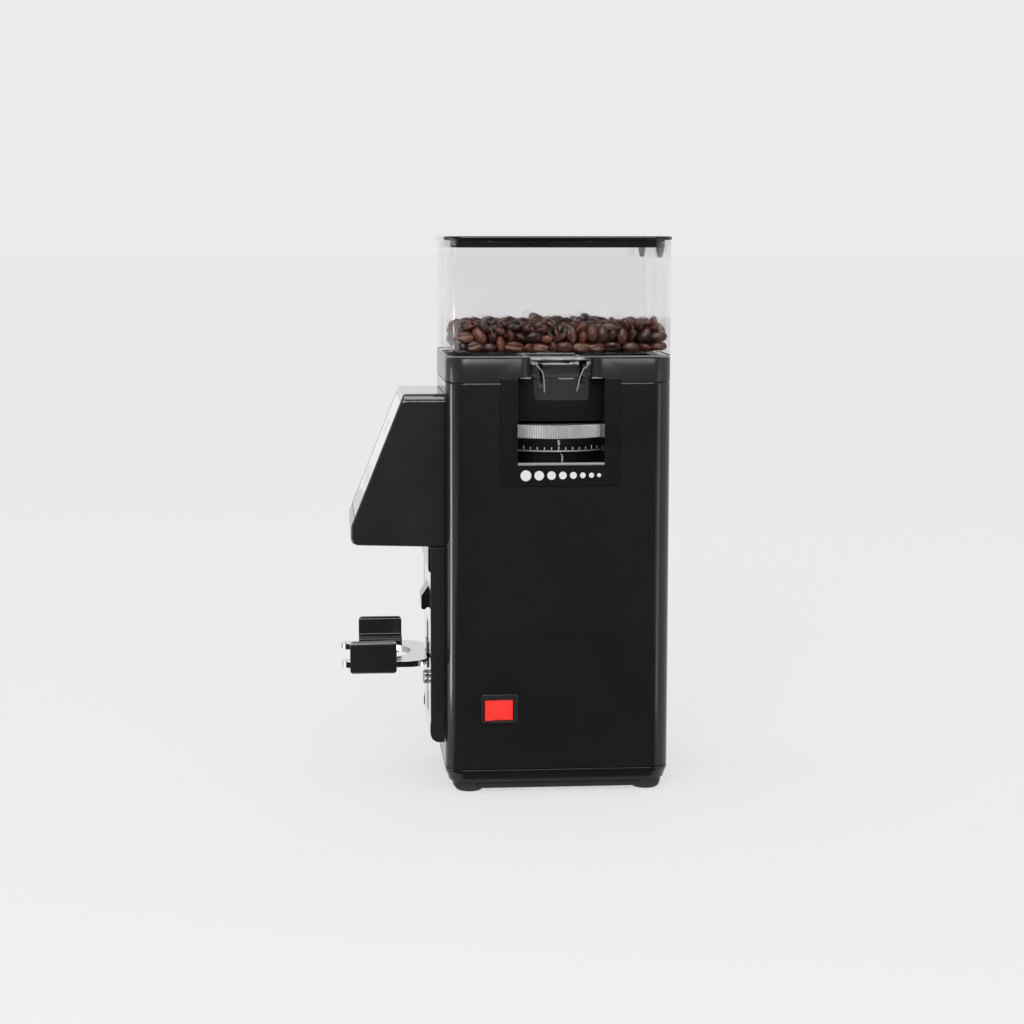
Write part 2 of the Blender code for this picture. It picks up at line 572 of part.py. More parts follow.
node("run_capacitor", turned([(0, 14), (15, 14), (15, 64), (13.6, 66), (0, 66)], 20, -32, 118), "white_plastic")
control = combine(
    box(-46, 12, 20, 92, 17, 18.6),
    add(box(-40, -20, 28, 50, 18.4, 36)),
    add(box(-12, 4, 30, 44, 18.4, 30)),
    add(box(-38, -24, 62, 84, 18.4, 33)),
    add(box(-14, 6, 60, 82, 18.4, 26)),
)
node("control_board", control, "board")

# -------------------------------------------------------------------- burrs
chamber = combine(
    turned([(6.4, 191), (CHAMBER_R, 191), (CHAMBER_R, 224.3), (38.4, 224.3), (38.4, 215.5), (33, 215.5), (33, 197), (6.4, 197)], 48),
    cut(box(-12, 12, 28, 60, 197, 212)),
)
node("grind_chamber", chamber, "cast_alloy")

wiper, bore = [], []
for k in range(48):
    w = 2 * pi * k / 48
    r = 32.2 if k % 12 in (0, 1) else 30.0
    wiper.append((r * cos(w), AXIS_B + r * sin(w)))
    bore.append((5.35 * cos(w), AXIS_B + 5.35 * sin(w)))
node("lower_burr_carrier", tube(wiper, bore, 199, 208.8), "brass", (0, AXIS_B, 204))


def lower_teeth(i, k):
    return -1.4 * (k % 2) if i in (2, 3) else 0.0


def upper_teeth(i, k):
    return 1.4 * (k % 2) if i in (0, 1) else 0.0


node("lower_burr", turned([(17, 209.1), (BURR_R, 209.1), (BURR_R, 217.0), (19.5, 215.6), (17, 213.2)], 48, wave=lower_teeth), "hard_steel", (0, AXIS_B, 213))
node("upper_burr", turned([(19.5, 219.4), (BURR_R, 218.0), (BURR_R, 225.5), (17, 225.5), (17, 221.6)], 48, wave=upper_teeth), "hard_steel", (0, AXIS_B, 222))
node("upper_burr_carrier", turned([(18, 225.8), (29.4, 225.8), (29.4, 219.3), (38, 219.3), (38, 238.9), (18, 238.9)], 48), "brass", (0, AXIS_B, 229))
node("adjust_ring", turned([(38.8, RING_LOW), (44.4, RING_LOW), (RING_R, RING_LOW + 0.5), (RING_R, BAND_LOW - 0.3), (43.0, BAND_LOW - 0.3), (43.0, BAND_TOP + 0.3),
                            (RING_R, BAND_TOP + 0.3), (RING_R, 241.9), (44.4, RING_TOP), (28, RING_TOP), (28, 240.2), (38.8, 240.2)], 72), "satin_steel", (0, AXIS_B, 233))
node("scale_band", turned([(43.35, BAND_LOW), (44.9, BAND_LOW), (44.9, BAND_TOP), (43.35, BAND_TOP)], 72), "black_plastic", (0, AXIS_B, 230))
node("feed_throat", turned([(18.5, 243.6), (26.5, 243.6), (26.5, 276.3), (33, 276.3), (33, 278.6), (22.4, 278.6), (22.4, 258.0)], 36), "black_plastic")
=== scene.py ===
import json
import bpy
import bmesh
import numpy as np
from math import pi, sin, cos, tan, radians, atan2, sqrt
from mathutils import Vector, Matrix


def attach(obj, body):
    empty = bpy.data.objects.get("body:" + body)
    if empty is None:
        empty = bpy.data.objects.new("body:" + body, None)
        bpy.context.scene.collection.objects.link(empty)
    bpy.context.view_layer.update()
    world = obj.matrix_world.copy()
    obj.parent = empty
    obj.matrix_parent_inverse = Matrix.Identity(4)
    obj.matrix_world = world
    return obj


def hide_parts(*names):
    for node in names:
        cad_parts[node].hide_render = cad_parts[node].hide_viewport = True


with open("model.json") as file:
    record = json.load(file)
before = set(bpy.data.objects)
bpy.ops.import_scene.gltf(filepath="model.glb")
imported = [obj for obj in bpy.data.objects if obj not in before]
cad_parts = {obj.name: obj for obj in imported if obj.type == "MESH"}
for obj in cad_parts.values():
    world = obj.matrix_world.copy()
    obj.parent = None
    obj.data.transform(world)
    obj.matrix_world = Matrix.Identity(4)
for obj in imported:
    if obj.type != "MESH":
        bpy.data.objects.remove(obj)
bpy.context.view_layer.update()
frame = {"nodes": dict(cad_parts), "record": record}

MM = 0.001
FRONT = -39.25            # the body's front face on Y, in mm
W2, DEPTH, CORNER = 60.0, 148.2, 14.0
AXIS_B = 75.0
RING_R = 45.0


# ------------------------------------------------------------------ helpers
def P(x, b, z):
    return Vector((x * MM, (b + FRONT) * MM, z * MM))


def rect(x0, x1, y0, y1):
    return [(x0, y0), (x1, y0), (x1, y1), (x0, y1)]


def rounded(points, radii, n=8):
    count = len(points)
    if not hasattr(radii, "__len__"):
        radii = [radii] * count
    out = []
    for i in range(count):
        p, a, c = Vector(points[i]), Vector(points[i - 1]), Vector(points[(i + 1) % count])
        r = radii[i]
        if r <= 0:
            out.append((p.x, p.y))
            continue
        u, v = (a - p).normalized(), (c - p).normalized()
        half = u.angle(v) / 2
        t = r / tan(half)
        centre = p + (u + v).normalized() * (r / sin(half))
        s, e = p + u * t - centre, p + v * t - centre
        a0, a1 = atan2(s.y, s.x), atan2(e.y, e.x)
        while a1 - a0 > pi:
            a1 -= 2 * pi
        while a1 - a0 < -pi:
            a1 += 2 * pi
        for k in range(n + 1):
            w = a0 + (a1 - a0) * k / n
            out.append((centre.x + r * cos(w), centre.y + r * sin(w)))
    return out


def circle(x, y, r, n):
    return [(x + r * cos(2 * pi * k / n), y + r * sin(2 * pi * k / n)) for k in range(n)]


def skin(rings, closed=False, caps=True):
    bm = bmesh.new()
    rows = [[bm.verts.new(p) for p in ring] for ring in rings]
    n = len(rows[0])
    pairs = list(zip(rows, rows[1:]))
    if closed:
        pairs.append((rows[-1], rows[0]))
    for low, high in pairs:
        for i in range(n):
            j = (i + 1) % n
            bm.faces.new((low[i], low[j], high[j], high[i]))
    if not closed and caps:
        bm.faces.new(list(reversed(rows[0])))
        bm.faces.new(rows[-1])
    bmesh.ops.recalc_face_normals(bm, faces=bm.faces[:])
    return bm


def place(axis, p, t):
    if axis == "Z":
        return P(p[0], p[1], t)
    if axis == "X":
        return P(t, p[0], p[1])
    return P(p[0], t, p[1])


def extrude(outline, lo, hi, axis="Z"):
    return skin([[place(axis, p, lo) for p in outline], [place(axis, p, hi) for p in outline]])


def box(x0, x1, b0, b1, z0, z1):
    return extrude(rect(x0, x1, b0, b1), z0, z1)


def tube(outer, inner, lo, hi, axis="Z"):
    return skin([[place(axis, p, lo) for p in outer], [place(axis, p, hi) for p in outer],
                 [place(axis, p, hi) for p in inner], [place(axis, p, lo) for p in inner]], closed=True)


def turned(profile, n, x=0.0, b=AXIS_B, axis="Z", radial=None, wave=None):
    """A turned piece from (radius, height) points; radial adds to the radius and wave to the height with the angle."""
    bm = bmesh.new()
    rows = []
    for i, (r, h) in enumerate(profile):
        if r < 1e-9:
            rows.append([bm.verts.new(P(x, b, h) if axis == "Z" else P(x, h, b))])
            continue
        row = []
        for k in range(n):
            w = 2 * pi * k / n
            rr = r + (radial(i, k) if radial else 0.0)
            hh = h + (wave(i, k) if wave else 0.0)
            row.append(bm.verts.new(P(x + rr * cos(w), b + rr * sin(w), hh) if axis == "Z"
                                    else P(x + rr * cos(w), hh, b + rr * sin(w))))
        rows.append(row)
    for i in range(len(rows)):
        low, high = rows[i], rows[(i + 1) % len(rows)]
        if len(low) == 1 and len(high) == 1:
            continue
        for k in range(n):
            j = (k + 1) % n
            bm.faces.new(([low[0]] if len(low) == 1 else [low[k], low[j]]) + ([high[0]] if len(high) == 1 else [high[j], high[k]]))
    bmesh.ops.recalc_face_normals(bm, faces=bm.faces[:])
    return bm


def as_object(bm, name):
    mesh = bpy.data.meshes.new(name)
    bm.to_mesh(mesh)
    bm.free()
    obj = bpy.data.objects.new(name, mesh)
    bpy.context.scene.collection.objects.link(obj)
    return obj


def combine(bm, *steps):
    base = as_object(bm, "base_solid")
    for operation, tool_bm in steps:
        tool = as_object(tool_bm, "tool_solid")
        change = base.modifiers.new("combine", "BOOLEAN")
        change.operation = operation
        change.solver = "EXACT"
        change.object = tool
        bpy.context.view_layer.update()
        graph = bpy.context.evaluated_depsgraph_get()
        fresh = bpy.data.meshes.new_from_object(base.evaluated_get(graph))
        base.modifiers.clear()
        base.data = fresh
        bpy.data.objects.remove(tool, do_unlink=True)
    out = bmesh.new()
    out.from_mesh(base.data)
    bpy.data.objects.remove(base, do_unlink=True)
    bmesh.ops.remove_doubles(out, verts=out.verts[:], dist=1e-6)
    bmesh.ops.dissolve_limit(out, angle_limit=radians(0.1), verts=out.verts[:], edges=out.edges[:])
    return out


def cut(tool):
    return ("DIFFERENCE", tool)


def add(tool):
    return ("UNION", tool)


def piece(name, bm, mat, body, replaces=(), bevel=0.0, segments=2, angle=34.0):
    """A finished visible piece: smooth, with softened edges, riding on its body."""
    obj = as_object(bm, name)
    obj.data.materials.append(mat)
    obj.data.shade_smooth()
    if bevel > 0:
        m = obj.modifiers.new("soft_edges", "BEVEL")
        m.width = bevel * MM
        m.segments = segments
        m.limit_method = "ANGLE"
        m.angle_limit = radians(angle)
        m.harden_normals = True
        m.use_clamp_overlap = True
    else:
        obj.data.set_sharp_from_angle(angle=radians(angle))
        even = obj.modifiers.new("even_normals", "WEIGHTED_NORMAL")
        even.mode = "FACE_AREA"
        even.weight = 70
        even.keep_sharp = True
    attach(obj, body)
    if replaces:
        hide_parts(*replaces)
    return obj


def outline(inset, radius=None, n=12):
    r = max(CORNER - inset, 3.0) if radius is None else radius
    return rounded(rect(-W2 + inset, W2 - inset, inset, DEPTH - inset), r, n)


def ring_at(inset, z, radius=None, n=12):
    return [P(x, b, z) for x, b in outline(inset, radius, n)]


def inset_polygon(points, amounts):
    count = len(points)
    area = sum(points[i][0] * points[(i + 1) % count][1] - points[(i + 1) % count][0] * points[i][1] for i in range(count))
    turn = 1.0 if area > 0 else -1.0
    lines = []
    for i in range(count):
        a, c = Vector(points[i]), Vector(points[(i + 1) % count])
        d = (c - a).normalized()
        lines.append((a + Vector((-d.y, d.x)) * turn * amounts[i], d))
    out = []
    for i in range(count):
        (a, d), (c, e) = lines[i - 1], lines[i]
        k = ((c - a).x * e.y - (c - a).y * e.x) / (d.x * e.y - d.y * e.x)
        p = a + d * k
        out.append((p.x, p.y))
    return out


# ---------------------------------------------------------------- materials
def fresh_material(name):
    m = bpy.data.materials.new(name)
    m.use_nodes = True
    t = m.node_tree
    return m, t, t.nodes["Principled BSDF"]


def noise(t, scale, detail=2.0, rough=0.5, coords=None):
    if coords is None:
        coords = t.nodes.new("ShaderNodeTexCoord").outputs["Object"]
    n = t.nodes.new("ShaderNodeTexNoise")
    n.inputs["Scale"].default_value = scale
    n.inputs["Detail"].default_value = detail
    n.inputs["Roughness"].default_value = rough
    t.links.new(coords, n.inputs["Vector"])
    return n.outputs["Fac"]


def ramp(t, factor, stops):
    r = t.nodes.new("ShaderNodeValToRGB")
    els = r.color_ramp.elements
    while len(els) < len(stops):
        els.new(0.5)
    for el, (pos, col) in zip(els, stops):
        el.position = pos
        el.color = (*col, 1.0)
    t.links.new(factor, r.inputs["Fac"])
    return r.outputs["Color"]


def spread(t, factor, lo, hi):
    m = t.nodes.new("ShaderNodeMapRange")
    m.inputs["From Min"].default_value = 0.3
    m.inputs["From Max"].default_value = 0.7
    m.inputs["To Min"].default_value = lo
    m.inputs["To Max"].default_value = hi
    t.links.new(factor, m.inputs["Value"])
    return m.outputs["Result"]


def bump(t, height, strength, distance, normal=None):
    b = t.nodes.new("ShaderNodeBump")
    b.inputs["Strength"].default_value = strength
    b.inputs["Distance"].default_value = distance
    t.links.new(height, b.inputs["Height"])
    if normal is not None:
        t.links.new(normal, b.inputs["Normal"])
    return b.outputs["Normal"]


def moulded(name, colour, rough, grain=0.10, grain_scale=2600.0, spec=0.5, vary=0.12, rough_vary=0.05, coat=0.0, coat_rough=0.1, distance=0.00006):
    """Painted or moulded surfaces: a fine grain, and slow changes of tone and gloss."""
    m, t, p = fresh_material(name)
    slow = noise(t, 22.0, 3.0)
    dark = tuple(c * (1 - vary) for c in colour)
    light = tuple(min(1.0, c * (1 + vary)) for c in colour)
    t.links.new(ramp(t, slow, [(0.3, dark), (0.7, light)]), p.inputs["Base Color"])
    t.links.new(spread(t, noise(t, 60.0, 4.0), max(0.0, rough - rough_vary), min(1.0, rough + rough_vary)), p.inputs["Roughness"])
    if grain > 0:
        t.links.new(bump(t, noise(t, grain_scale, 2.0), grain, distance), p.inputs["Normal"])
    p.inputs["Specular IOR Level"].default_value = spec
    p.inputs["Coat Weight"].default_value = coat
    p.inputs["Coat Roughness"].default_value = coat_rough
    return m


def metal(name, colour, rough, brushed=None, grain=0.04, vary=0.05):
    """Metals; brushed stretches the grain along one axis."""
    m, t, p = fresh_material(name)
    coords = t.nodes.new("ShaderNodeTexCoord").outputs["Object"]
    if brushed:
        mp = t.nodes.new("ShaderNodeMapping")
        mp.inputs["Scale"].default_value = brushed
        t.links.new(coords, mp.inputs["Vector"])
        coords = mp.outputs["Vector"]
    fine = noise(t, 900.0, 3.0, 0.6, coords)
    dark = tuple(c * (1 - vary) for c in colour)
    light = tuple(min(1.0, c * (1 + vary)) for c in colour)
    t.links.new(ramp(t, noise(t, 35.0, 2.0), [(0.3, dark), (0.7, light)]), p.inputs["Base Color"])
    t.links.new(spread(t, fine, rough * 0.8, min(1.0, rough * 1.25)), p.inputs["Roughness"])
    t.links.new(bump(t, fine, grain, 0.00003), p.inputs["Normal"])
    p.inputs["Metallic"].default_value = 1.0
    return m


def clear_plastic(name, tint, rough=0.012, ior=1.46):
    """Clear moulding: it refracts, and lets lamps light what is inside."""
    m, t, p = fresh_material(name)
    t.links.new(ramp(t, noise(t, 18.0, 2.0), [(0.3, tint), (0.7, tuple(min(1.0, c * 1.01) for c in tint))]), p.inputs["Base Color"])
    p.inputs["Transmission Weight"].default_value = 1.0
    p.inputs["IOR"].default_value = ior
    t.links.new(spread(t, noise(t, 90.0, 3.0), rough * 0.5, rough * 1.6), p.inputs["Roughness"])
    through = t.nodes.new("ShaderNodeBsdfTransparent")
    through.inputs["Color"].default_value = (0.96, 0.955, 0.95, 1.0)
    mix = t.nodes.new("ShaderNodeMixShader")
    path = t.nodes.new("ShaderNodeLightPath")
    t.links.new(path.outputs["Is Shadow Ray"], mix.inputs[0])
    t.links.new(p.outputs[0], mix.inputs[1])
    t.links.new(through.outputs[0], mix.inputs[2])
    t.links.new(mix.outputs[0], t.nodes["Material Output"].inputs["Surface"])
    return m


M_SHELL = moulded("satin_black_paint", (0.0120, 0.0119, 0.0119), 0.17, grain=0.03, grain_scale=1500.0, spec=0.36, rough_vary=0.02)
M_BLACK = moulded("black_moulding", (0.0085, 0.0084, 0.0086), 0.20, grain=0.06, grain_scale=3200.0, spec=0.40, rough_vary=0.03)
M_HOUSE = moulded("black_housing_moulding", (0.0195, 0.0192, 0.0195), 0.12, grain=0.05, grain_scale=3200.0, spec=0.42, rough_vary=0.02)
M_DARK = moulded("dark_recess_moulding", (0.0060, 0.0060, 0.0061), 0.42, grain=0.2, grain_scale=3000.0, spec=0.08)
M_LID = moulded("black_gloss_moulding", (0.0070, 0.0068, 0.0070), 0.12, grain=0.02, grain_scale=900.0, spec=0.45, rough_vary=0.02)
# pale grey for painted highlight lines along edges that catch the light
M_PALE_EDGE_HIGHLIGHT = moulded("pale_edge_painted_highlight", (0.24, 0.24, 0.24), 0.35, grain=0.05, grain_scale=3000.0, spec=0.5)
M_PAD = moulded("black_rubber_pad", (0.0150, 0.0150, 0.0154), 0.15, grain=0.02, grain_scale=1400.0, spec=0.5, rough_vary=0.02)
M_COLLAR = moulded("collar_moulding", (0.0215, 0.0212, 0.0217), 0.24, grain=0.05, grain_scale=3200.0, spec=0.24, rough_vary=0.02, vary=0.18)
M_GLOSS = moulded("black_gloss_trim", (0.0090, 0.0088, 0.0090), 0.05, grain=0.01, grain_scale=2400.0, spec=0.5, rough_vary=0.01)
M_BEZEL = moulded("rocker_frame_moulding", (0.0210, 0.0207, 0.0212), 0.28, grain=0.08, grain_scale=3000.0, spec=0.3)
M_FOOT = moulded("foot_rubber", (0.014, 0.014, 0.014), 0.62, grain=0.3, grain_scale=2600.0, spec=0.4)
M_GLASS = moulded("display_black_glass", (0.004, 0.004, 0.0045), 0.045, grain=0.0, spec=0.6, coat=0.5, coat_rough=0.02, rough_vary=0.015)
M_PRINT = moulded("white_print", (0.66, 0.66, 0.65), 0.55, grain=0.1, grain_scale=4000.0, spec=0.3, vary=0.03)
M_ICON = moulded("icon_print", (0.55, 0.57, 0.60), 0.07, grain=0.05, grain_scale=4000.0, spec=0.3, vary=0.03)
M_POLISH = metal("polished_stainless", (0.70, 0.70, 0.695), 0.09, brushed=(1.0, 1.0, 12.0), grain=0.02, vary=0.05)
M_FORK = metal("polished_fork_steel", (0.44, 0.44, 0.438), 0.15, brushed=(8.0, 1.0, 1.0), grain=0.03, vary=0.03)
M_SCREW = metal("knurled_screw_steel", (0.42, 0.42, 0.425), 0.30, grain=0.04)
M_CHROME = metal("chrome", (0.83, 0.83, 0.83), 0.06, grain=0.01, vary=0.02)
M_RING = metal("knurled_alloy", (0.70, 0.70, 0.705), 0.34, grain=0.03, vary=0.02)
M_RING.node_tree.nodes["Principled BSDF"].inputs["Metallic"].default_value = 0.75
M_STEEL = metal("satin_steel_fine", (0.58, 0.58, 0.58), 0.34, brushed=(1.0, 1.0, 14.0), grain=0.05)


def thin_clear(name, tint, share):
    """A thin clear wall: most light goes straight through with a faint tint, the rest is glass."""
    m, t, p = fresh_material(name)
    t.links.new(ramp(t, noise(t, 18.0, 2.0), [(0.3, (0.93, 0.93, 0.93)), (0.7, (0.97, 0.97, 0.97))]), p.inputs["Base Color"])
    p.inputs["Transmission Weight"].default_value = 1.0
    p.inputs["IOR"].default_value = 1.46
    t.links.new(spread(t, noise(t, 90.0, 3.0), 0.006, 0.03), p.inputs["Roughness"])
    through = t.nodes.new("ShaderNodeBsdfTransparent")
    through.inputs["Color"].default_value = (*tint, 1.0)
    mix = t.nodes.new("ShaderNodeMixShader")
    mix.inputs[0].default_value = share
    t.links.new(p.outputs[0], mix.inputs[1])
    t.links.new(through.outputs[0], mix.inputs[2])
    t.links.new(mix.outputs[0], t.nodes["Material Output"].inputs["Surface"])
    return m


M_CLEAR = thin_clear("clear_polycarbonate", (0.958, 0.952, 0.955), 0.86)
# real raised lines on the clear handle, coloured pale grey as painted highlights
M_RIB_PAINTED_HIGHLIGHT = moulded("rib_painted_highlight", (0.27, 0.27, 0.275), 0.22, grain=0.03, grain_scale=2400.0, spec=0.5)
# pale grey for the painted highlight line along the hopper's lower rim
M_RIM_PAINTED_HIGHLIGHT = moulded("rim_painted_highlight", (0.170, 0.169, 0.171), 0.25, grain=0.04, grain_scale=900.0, spec=0.5, vary=0.35)
M_CLEAR_THICK = clear_plastic("clear_handle_moulding", (0.95, 0.95, 0.95), 0.03, 1.42)


def red_rocker():
    m, t, p = fresh_material("red_rocker_plastic")
    t.links.new(ramp(t, noise(t, 120.0, 2.0), [(0.3, (0.83, 0.022, 0.020)), (0.7, (0.90, 0.032, 0.026))]), p.inputs["Base Color"])
    t.links.new(spread(t, noise(t, 400.0, 3.0), 0.20, 0.30), p.inputs["Roughness"])
    t.links.new(bump(t, noise(t, 1800.0, 2.0), 0.05, 0.00004), p.inputs["Normal"])
    # painted glow: a faint red emission that lifts the rocker's brightness
    p.inputs["Emission Color"].default_value = (0.95, 0.05, 0.035, 1.0)
    p.inputs["Emission Strength"].default_value = 0.10
    return m


M_RED = red_rocker()


def bean_material():
    """Roasted coffee: each bean has its own tone, with a paler groove."""
    m, t, p = fresh_material("roasted_bean")
    tone = t.nodes.new("ShaderNodeAttribute")
    tone.attribute_name = "tone"
    groove = t.nodes.new("ShaderNodeAttribute")
    groove.attribute_name = "groove"
    body = ramp(t, tone.outputs["Fac"], [(0.0, (0.018, 0.0068, 0.0050)), (0.35, (0.044, 0.0130, 0.0080)),
                                        (0.7, (0.094, 0.0275, 0.0155)), (1.0, (0.165, 0.058, 0.0320))])
    mott = t.nodes.new("ShaderNodeMix")
    mott.data_type = "RGBA"
    mott.blend_type = "MULTIPLY"
    mott.inputs[0].default_value = 0.7
    t.links.new(body, mott.inputs[6])
    t.links.new(ramp(t, noise(t, 420.0, 4.0, 0.6), [(0.25, (0.55, 0.50, 0.48)), (0.75, (1.25, 1.22, 1.2))]), mott.inputs[7])
    mix = t.nodes.new("ShaderNodeMix")
    mix.data_type = "RGBA"
    t.links.new(groove.outputs["Fac"], mix.inputs[0])
    t.links.new(mott.outputs[2], mix.inputs[6])
    mix.inputs[7].default_value = (0.30, 0.155, 0.092, 1.0)
    t.links.new(mix.outputs[2], p.inputs["Base Color"])
    t.links.new(spread(t, noise(t, 300.0, 3.0), 0.24, 0.40), p.inputs["Roughness"])
    p.inputs["Specular IOR Level"].default_value = 0.42
    t.links.new(bump(t, noise(t, 1400.0, 4.0, 0.6), 0.35, 0.00018), p.inputs["Normal"])
    return m


M_BEAN = bean_material()

# finishes of the pieces inside, which keep their shapes
INSIDE = {
    "satin_steel": M_STEEL,
    "hard_steel": metal("ground_burr_steel", (0.44, 0.44, 0.45), 0.36, grain=0.08),
    "cast_alloy": metal("die_cast_alloy", (0.34, 0.34, 0.35), 0.55, grain=0.2, vary=0.1),
    "brass": metal("turned_brass", (0.72, 0.54, 0.24), 0.30, grain=0.05),
    "winding_copper": metal("enamelled_copper", (0.62, 0.27, 0.12), 0.34, brushed=(1.0, 1.0, 6.0), grain=0.3, vary=0.15),
    "laminations": metal("stacked_laminations", (0.20, 0.20, 0.21), 0.50, brushed=(0.1, 0.1, 4.0), grain=0.5, vary=0.12),
    "white_plastic": moulded("white_can", (0.72, 0.72, 0.69), 0.40),
    "circuit_board": moulded("green_board", (0.022, 0.10, 0.05), 0.45, grain=0.15, grain_scale=800.0, vary=0.2),
    "black_plastic": M_DARK,
    "black_gloss": M_LID,
}
slot_of = {s["node"]: s["material_slot"] for s in frame["record"]["subparts"]}
for name, obj in frame["nodes"].items():
    made = INSIDE.get(slot_of.get(name))
    if made is not None:
        obj.data.materials.clear()
        obj.data.materials.append(made)
frame["nodes"]["grind_chamber"].data.materials[0] = M_DARK

# ------------------------------------------------------------ body and base
shell = combine(
    skin([ring_at(0.60, 16.3), ring_at(0.18, 16.48), ring_at(0.0, 16.9), ring_at(0.0, 270.7), ring_at(0.10, 271.1), ring_at(0.34, 271.43), ring_at(0.75, 271.6),
          ring_at(2.0, 271.6), ring_at(2.0, 16.3)], closed=True),
    cut(box(56, 62, 35.1, 113.95, 204.0, 280)),
    cut(box(56, 62, 23.3, 46.3, 48.3, 66.0)),
    cut(box(-26, 26, -1, 4, 108, 232)),
    cut(box(-14.3, 14.3, DEPTH - 3.5, DEPTH + 1.5, 33.7, 56.3)),
    *[cut(extrude(rounded([(-30, 84 + 8 * k), (30, 84 + 8 * k), (30, 87.2 + 8 * k), (-30, 87.2 + 8 * k)], 1.5, 5), DEPTH - 3.5, DEPTH + 1.5, "Y")) for k in range(6)],
)
piece("shell_fine", shell, M_SHELL, "base", ["body_shell"], angle=30)

FOOT_X, FOOT_FRONT, FOOT_BACK, FOOT_R = 45.6, 15.9, 133.6, 10.6
tray = combine(
    skin([ring_at(10.0, 2.3, 6.0), ring_at(5.9, 2.3, 8.3), ring_at(5.3, 2.6, 8.9), ring_at(4.9, 3.3, 9.2), ring_at(4.5, 6.6, 9.6), ring_at(4.4, 7.1, 9.7), ring_at(2.7, 7.3, 11.3),
          ring_at(2.3, 7.7, 11.7), ring_at(1.35, 10.7, 12.6), ring_at(0.45, 12.9, 13.5), ring_at(0.1, 13.5), ring_at(0.0, 14.0), ring_at(0.0, 15.5), ring_at(0.15, 15.85), ring_at(0.5, 16.0),
          ring_at(2.4, 16.0), ring_at(2.4, 21.0), ring_at(4.4, 21.0), ring_at(4.4, 10.5)]),
    *[cut(turned([(0, -1), (FOOT_R + 0.3, -1), (FOOT_R + 0.3, 7.2), (0, 7.2)], 64, sx * FOOT_X, b)) for sx in (-1, 1) for b in (FOOT_FRONT, FOOT_BACK)],
    *[cut(turned([(0, 1), (4.2, 1), (4.2, 5.2), (2.3, 5.2), (2.3, 12), (0, 12)], 24, sx * 46.0, b)) for sx in (-1, 1) for b in (60.0, 90.0)],
)
piece("tray_fine", tray, M_BLACK, "base", ["base_tray"], angle=30)

for label, sx, b in (("front_right", 1, FOOT_FRONT), ("front_left", -1, FOOT_FRONT), ("rear_right", 1, FOOT_BACK), ("rear_left", -1, FOOT_BACK)):
    prof = [(0, 0.25), (4.6, 0.25), (5.2, 0.0), (7.3, 0.0), (8.4, 0.3), (9.2, 0.95), (9.8, 1.9), (10.2, 3.0), (10.5, 4.4), (10.6, 5.4), (10.6, 6.6), (10.4, 6.85), (0, 6.9)]
    piece("foot_fine_" + label, turned(prof, 64, sx * FOOT_X, b), M_FOOT, "base", ["foot_" + label], angle=40)


def pan_head(x, b, k):
    prof = [(0, 3.5), (1.1, 3.5), (1.1, 3.0), (2.6, 2.95), (3.4, 3.25), (3.7, 3.8), (3.7, 4.8), (1.95, 4.8), (1.95, 14.5), (0, 14.5)]
    piece("base_screw_fine_%d" % k, turned(prof, 6 * 5, x, b), M_STEEL, "base", ["base_screw_%d" % k], angle=30)


for k, (sx, b) in enumerate(((1, 60.0), (-1, 60.0), (1, 90.0), (-1, 90.0))):
    pan_head(sx * 46.0, b, k + 1)

# the collar under the hopper, with its cheeks rolling into the notch
NOTCH_R = 8.0


def notch(b_edge, side, top=292.0, low=270.0):
    """Half of the notch cutter; its corner leaves a rounded cheek."""
    turn = [(W2 - NOTCH_R + NOTCH_R * sin(w), b_edge - side * (NOTCH_R - NOTCH_R * cos(w))) for w in [pi / 2 * k / 10 for k in range(11)]]
    pts = [(30, 75.0), (30, b_edge)] + turn + [(63, turn[-1][1]), (63, 75.0)]
    return extrude(pts, low, top)


collar = combine(
    skin([ring_at(0.5, 271.9), ring_at(0.14, 272.05), ring_at(0.0, 272.4), ring_at(0.0, 287.2), ring_at(0.14, 287.55), ring_at(0.5, 287.7),
          ring_at(3.0, 287.7), ring_at(3.0, 271.9)], closed=True),
    add(box(-58, 33, 2, DEPTH - 2.0, 273.2, 276.0)),
    add(box(38, 58.9, 40, 62, 275.3, 287.5)),
    add(box(38, 58.9, 88, 110, 275.3, 287.5)),
    cut(notch(55.5, 1)),
    cut(notch(94.6, -1)),
    cut(box(30, 60.5, 56.5, 93.5, 272, 290)),
    cut(box(56, 62, 35.1, 113.95, 270, 275.0)),
    cut(turned([(0, 270), (27.2, 270), (27.2, 280), (0, 280)], 64)),
)
piece("collar_fine", collar, M_COLLAR, "base", ["top_collar"], bevel=0.35, segments=2, angle=50)

# ------------------------------------------- adjustment window on the side
bezel = combine(
    extrude([(35.4, 204.3), (113.65, 204.3), (113.65, 274.7), (103.4, 274.7), (103.4, 219.0), (46.5, 219.0), (46.5, 274.7), (35.4, 274.7)], 57.4, 60.2, "X"),
    add(box(36.9, 58, 44.5, 46.5, 216.8, 274.3)),
    add(box(36.9, 58, 103.4, 105.4, 216.8, 274.3)),
    add(combine(box(37.5, 58, 45, 105, 216.8, 219.0), cut(turned([(0, 215), (46, 215), (46, 221), (0, 221)], 96)))),
    add(box(50, 59.2, 75.0, 76.2, 218.0, 224.5)),
)
piece("bezel_fine", bezel, M_BLACK, "base", ["side_bezel"], bevel=0.4, segments=3, angle=40)
# the sill's front lip in pale grey: a painted highlight along its rounded edge
lip = [(57.6, 218.95), (57.6, 219.55), (59.9, 219.55), (60.35, 219.3), (60.45, 218.9), (60.45, 218.3), (60.25, 218.0), (60.1, 218.0), (60.1, 218.95)]
piece("sill_lip", extrude(lip, 46.7, 103.2, "Y"), M_PALE_EDGE_HIGHLIGHT, "base", angle=50)
piece("pointer_edge", box(59.0, 59.35, 75.1, 76.1, 219.6, 224.3), M_PALE_EDGE_HIGHLIGHT, "base", angle=50)
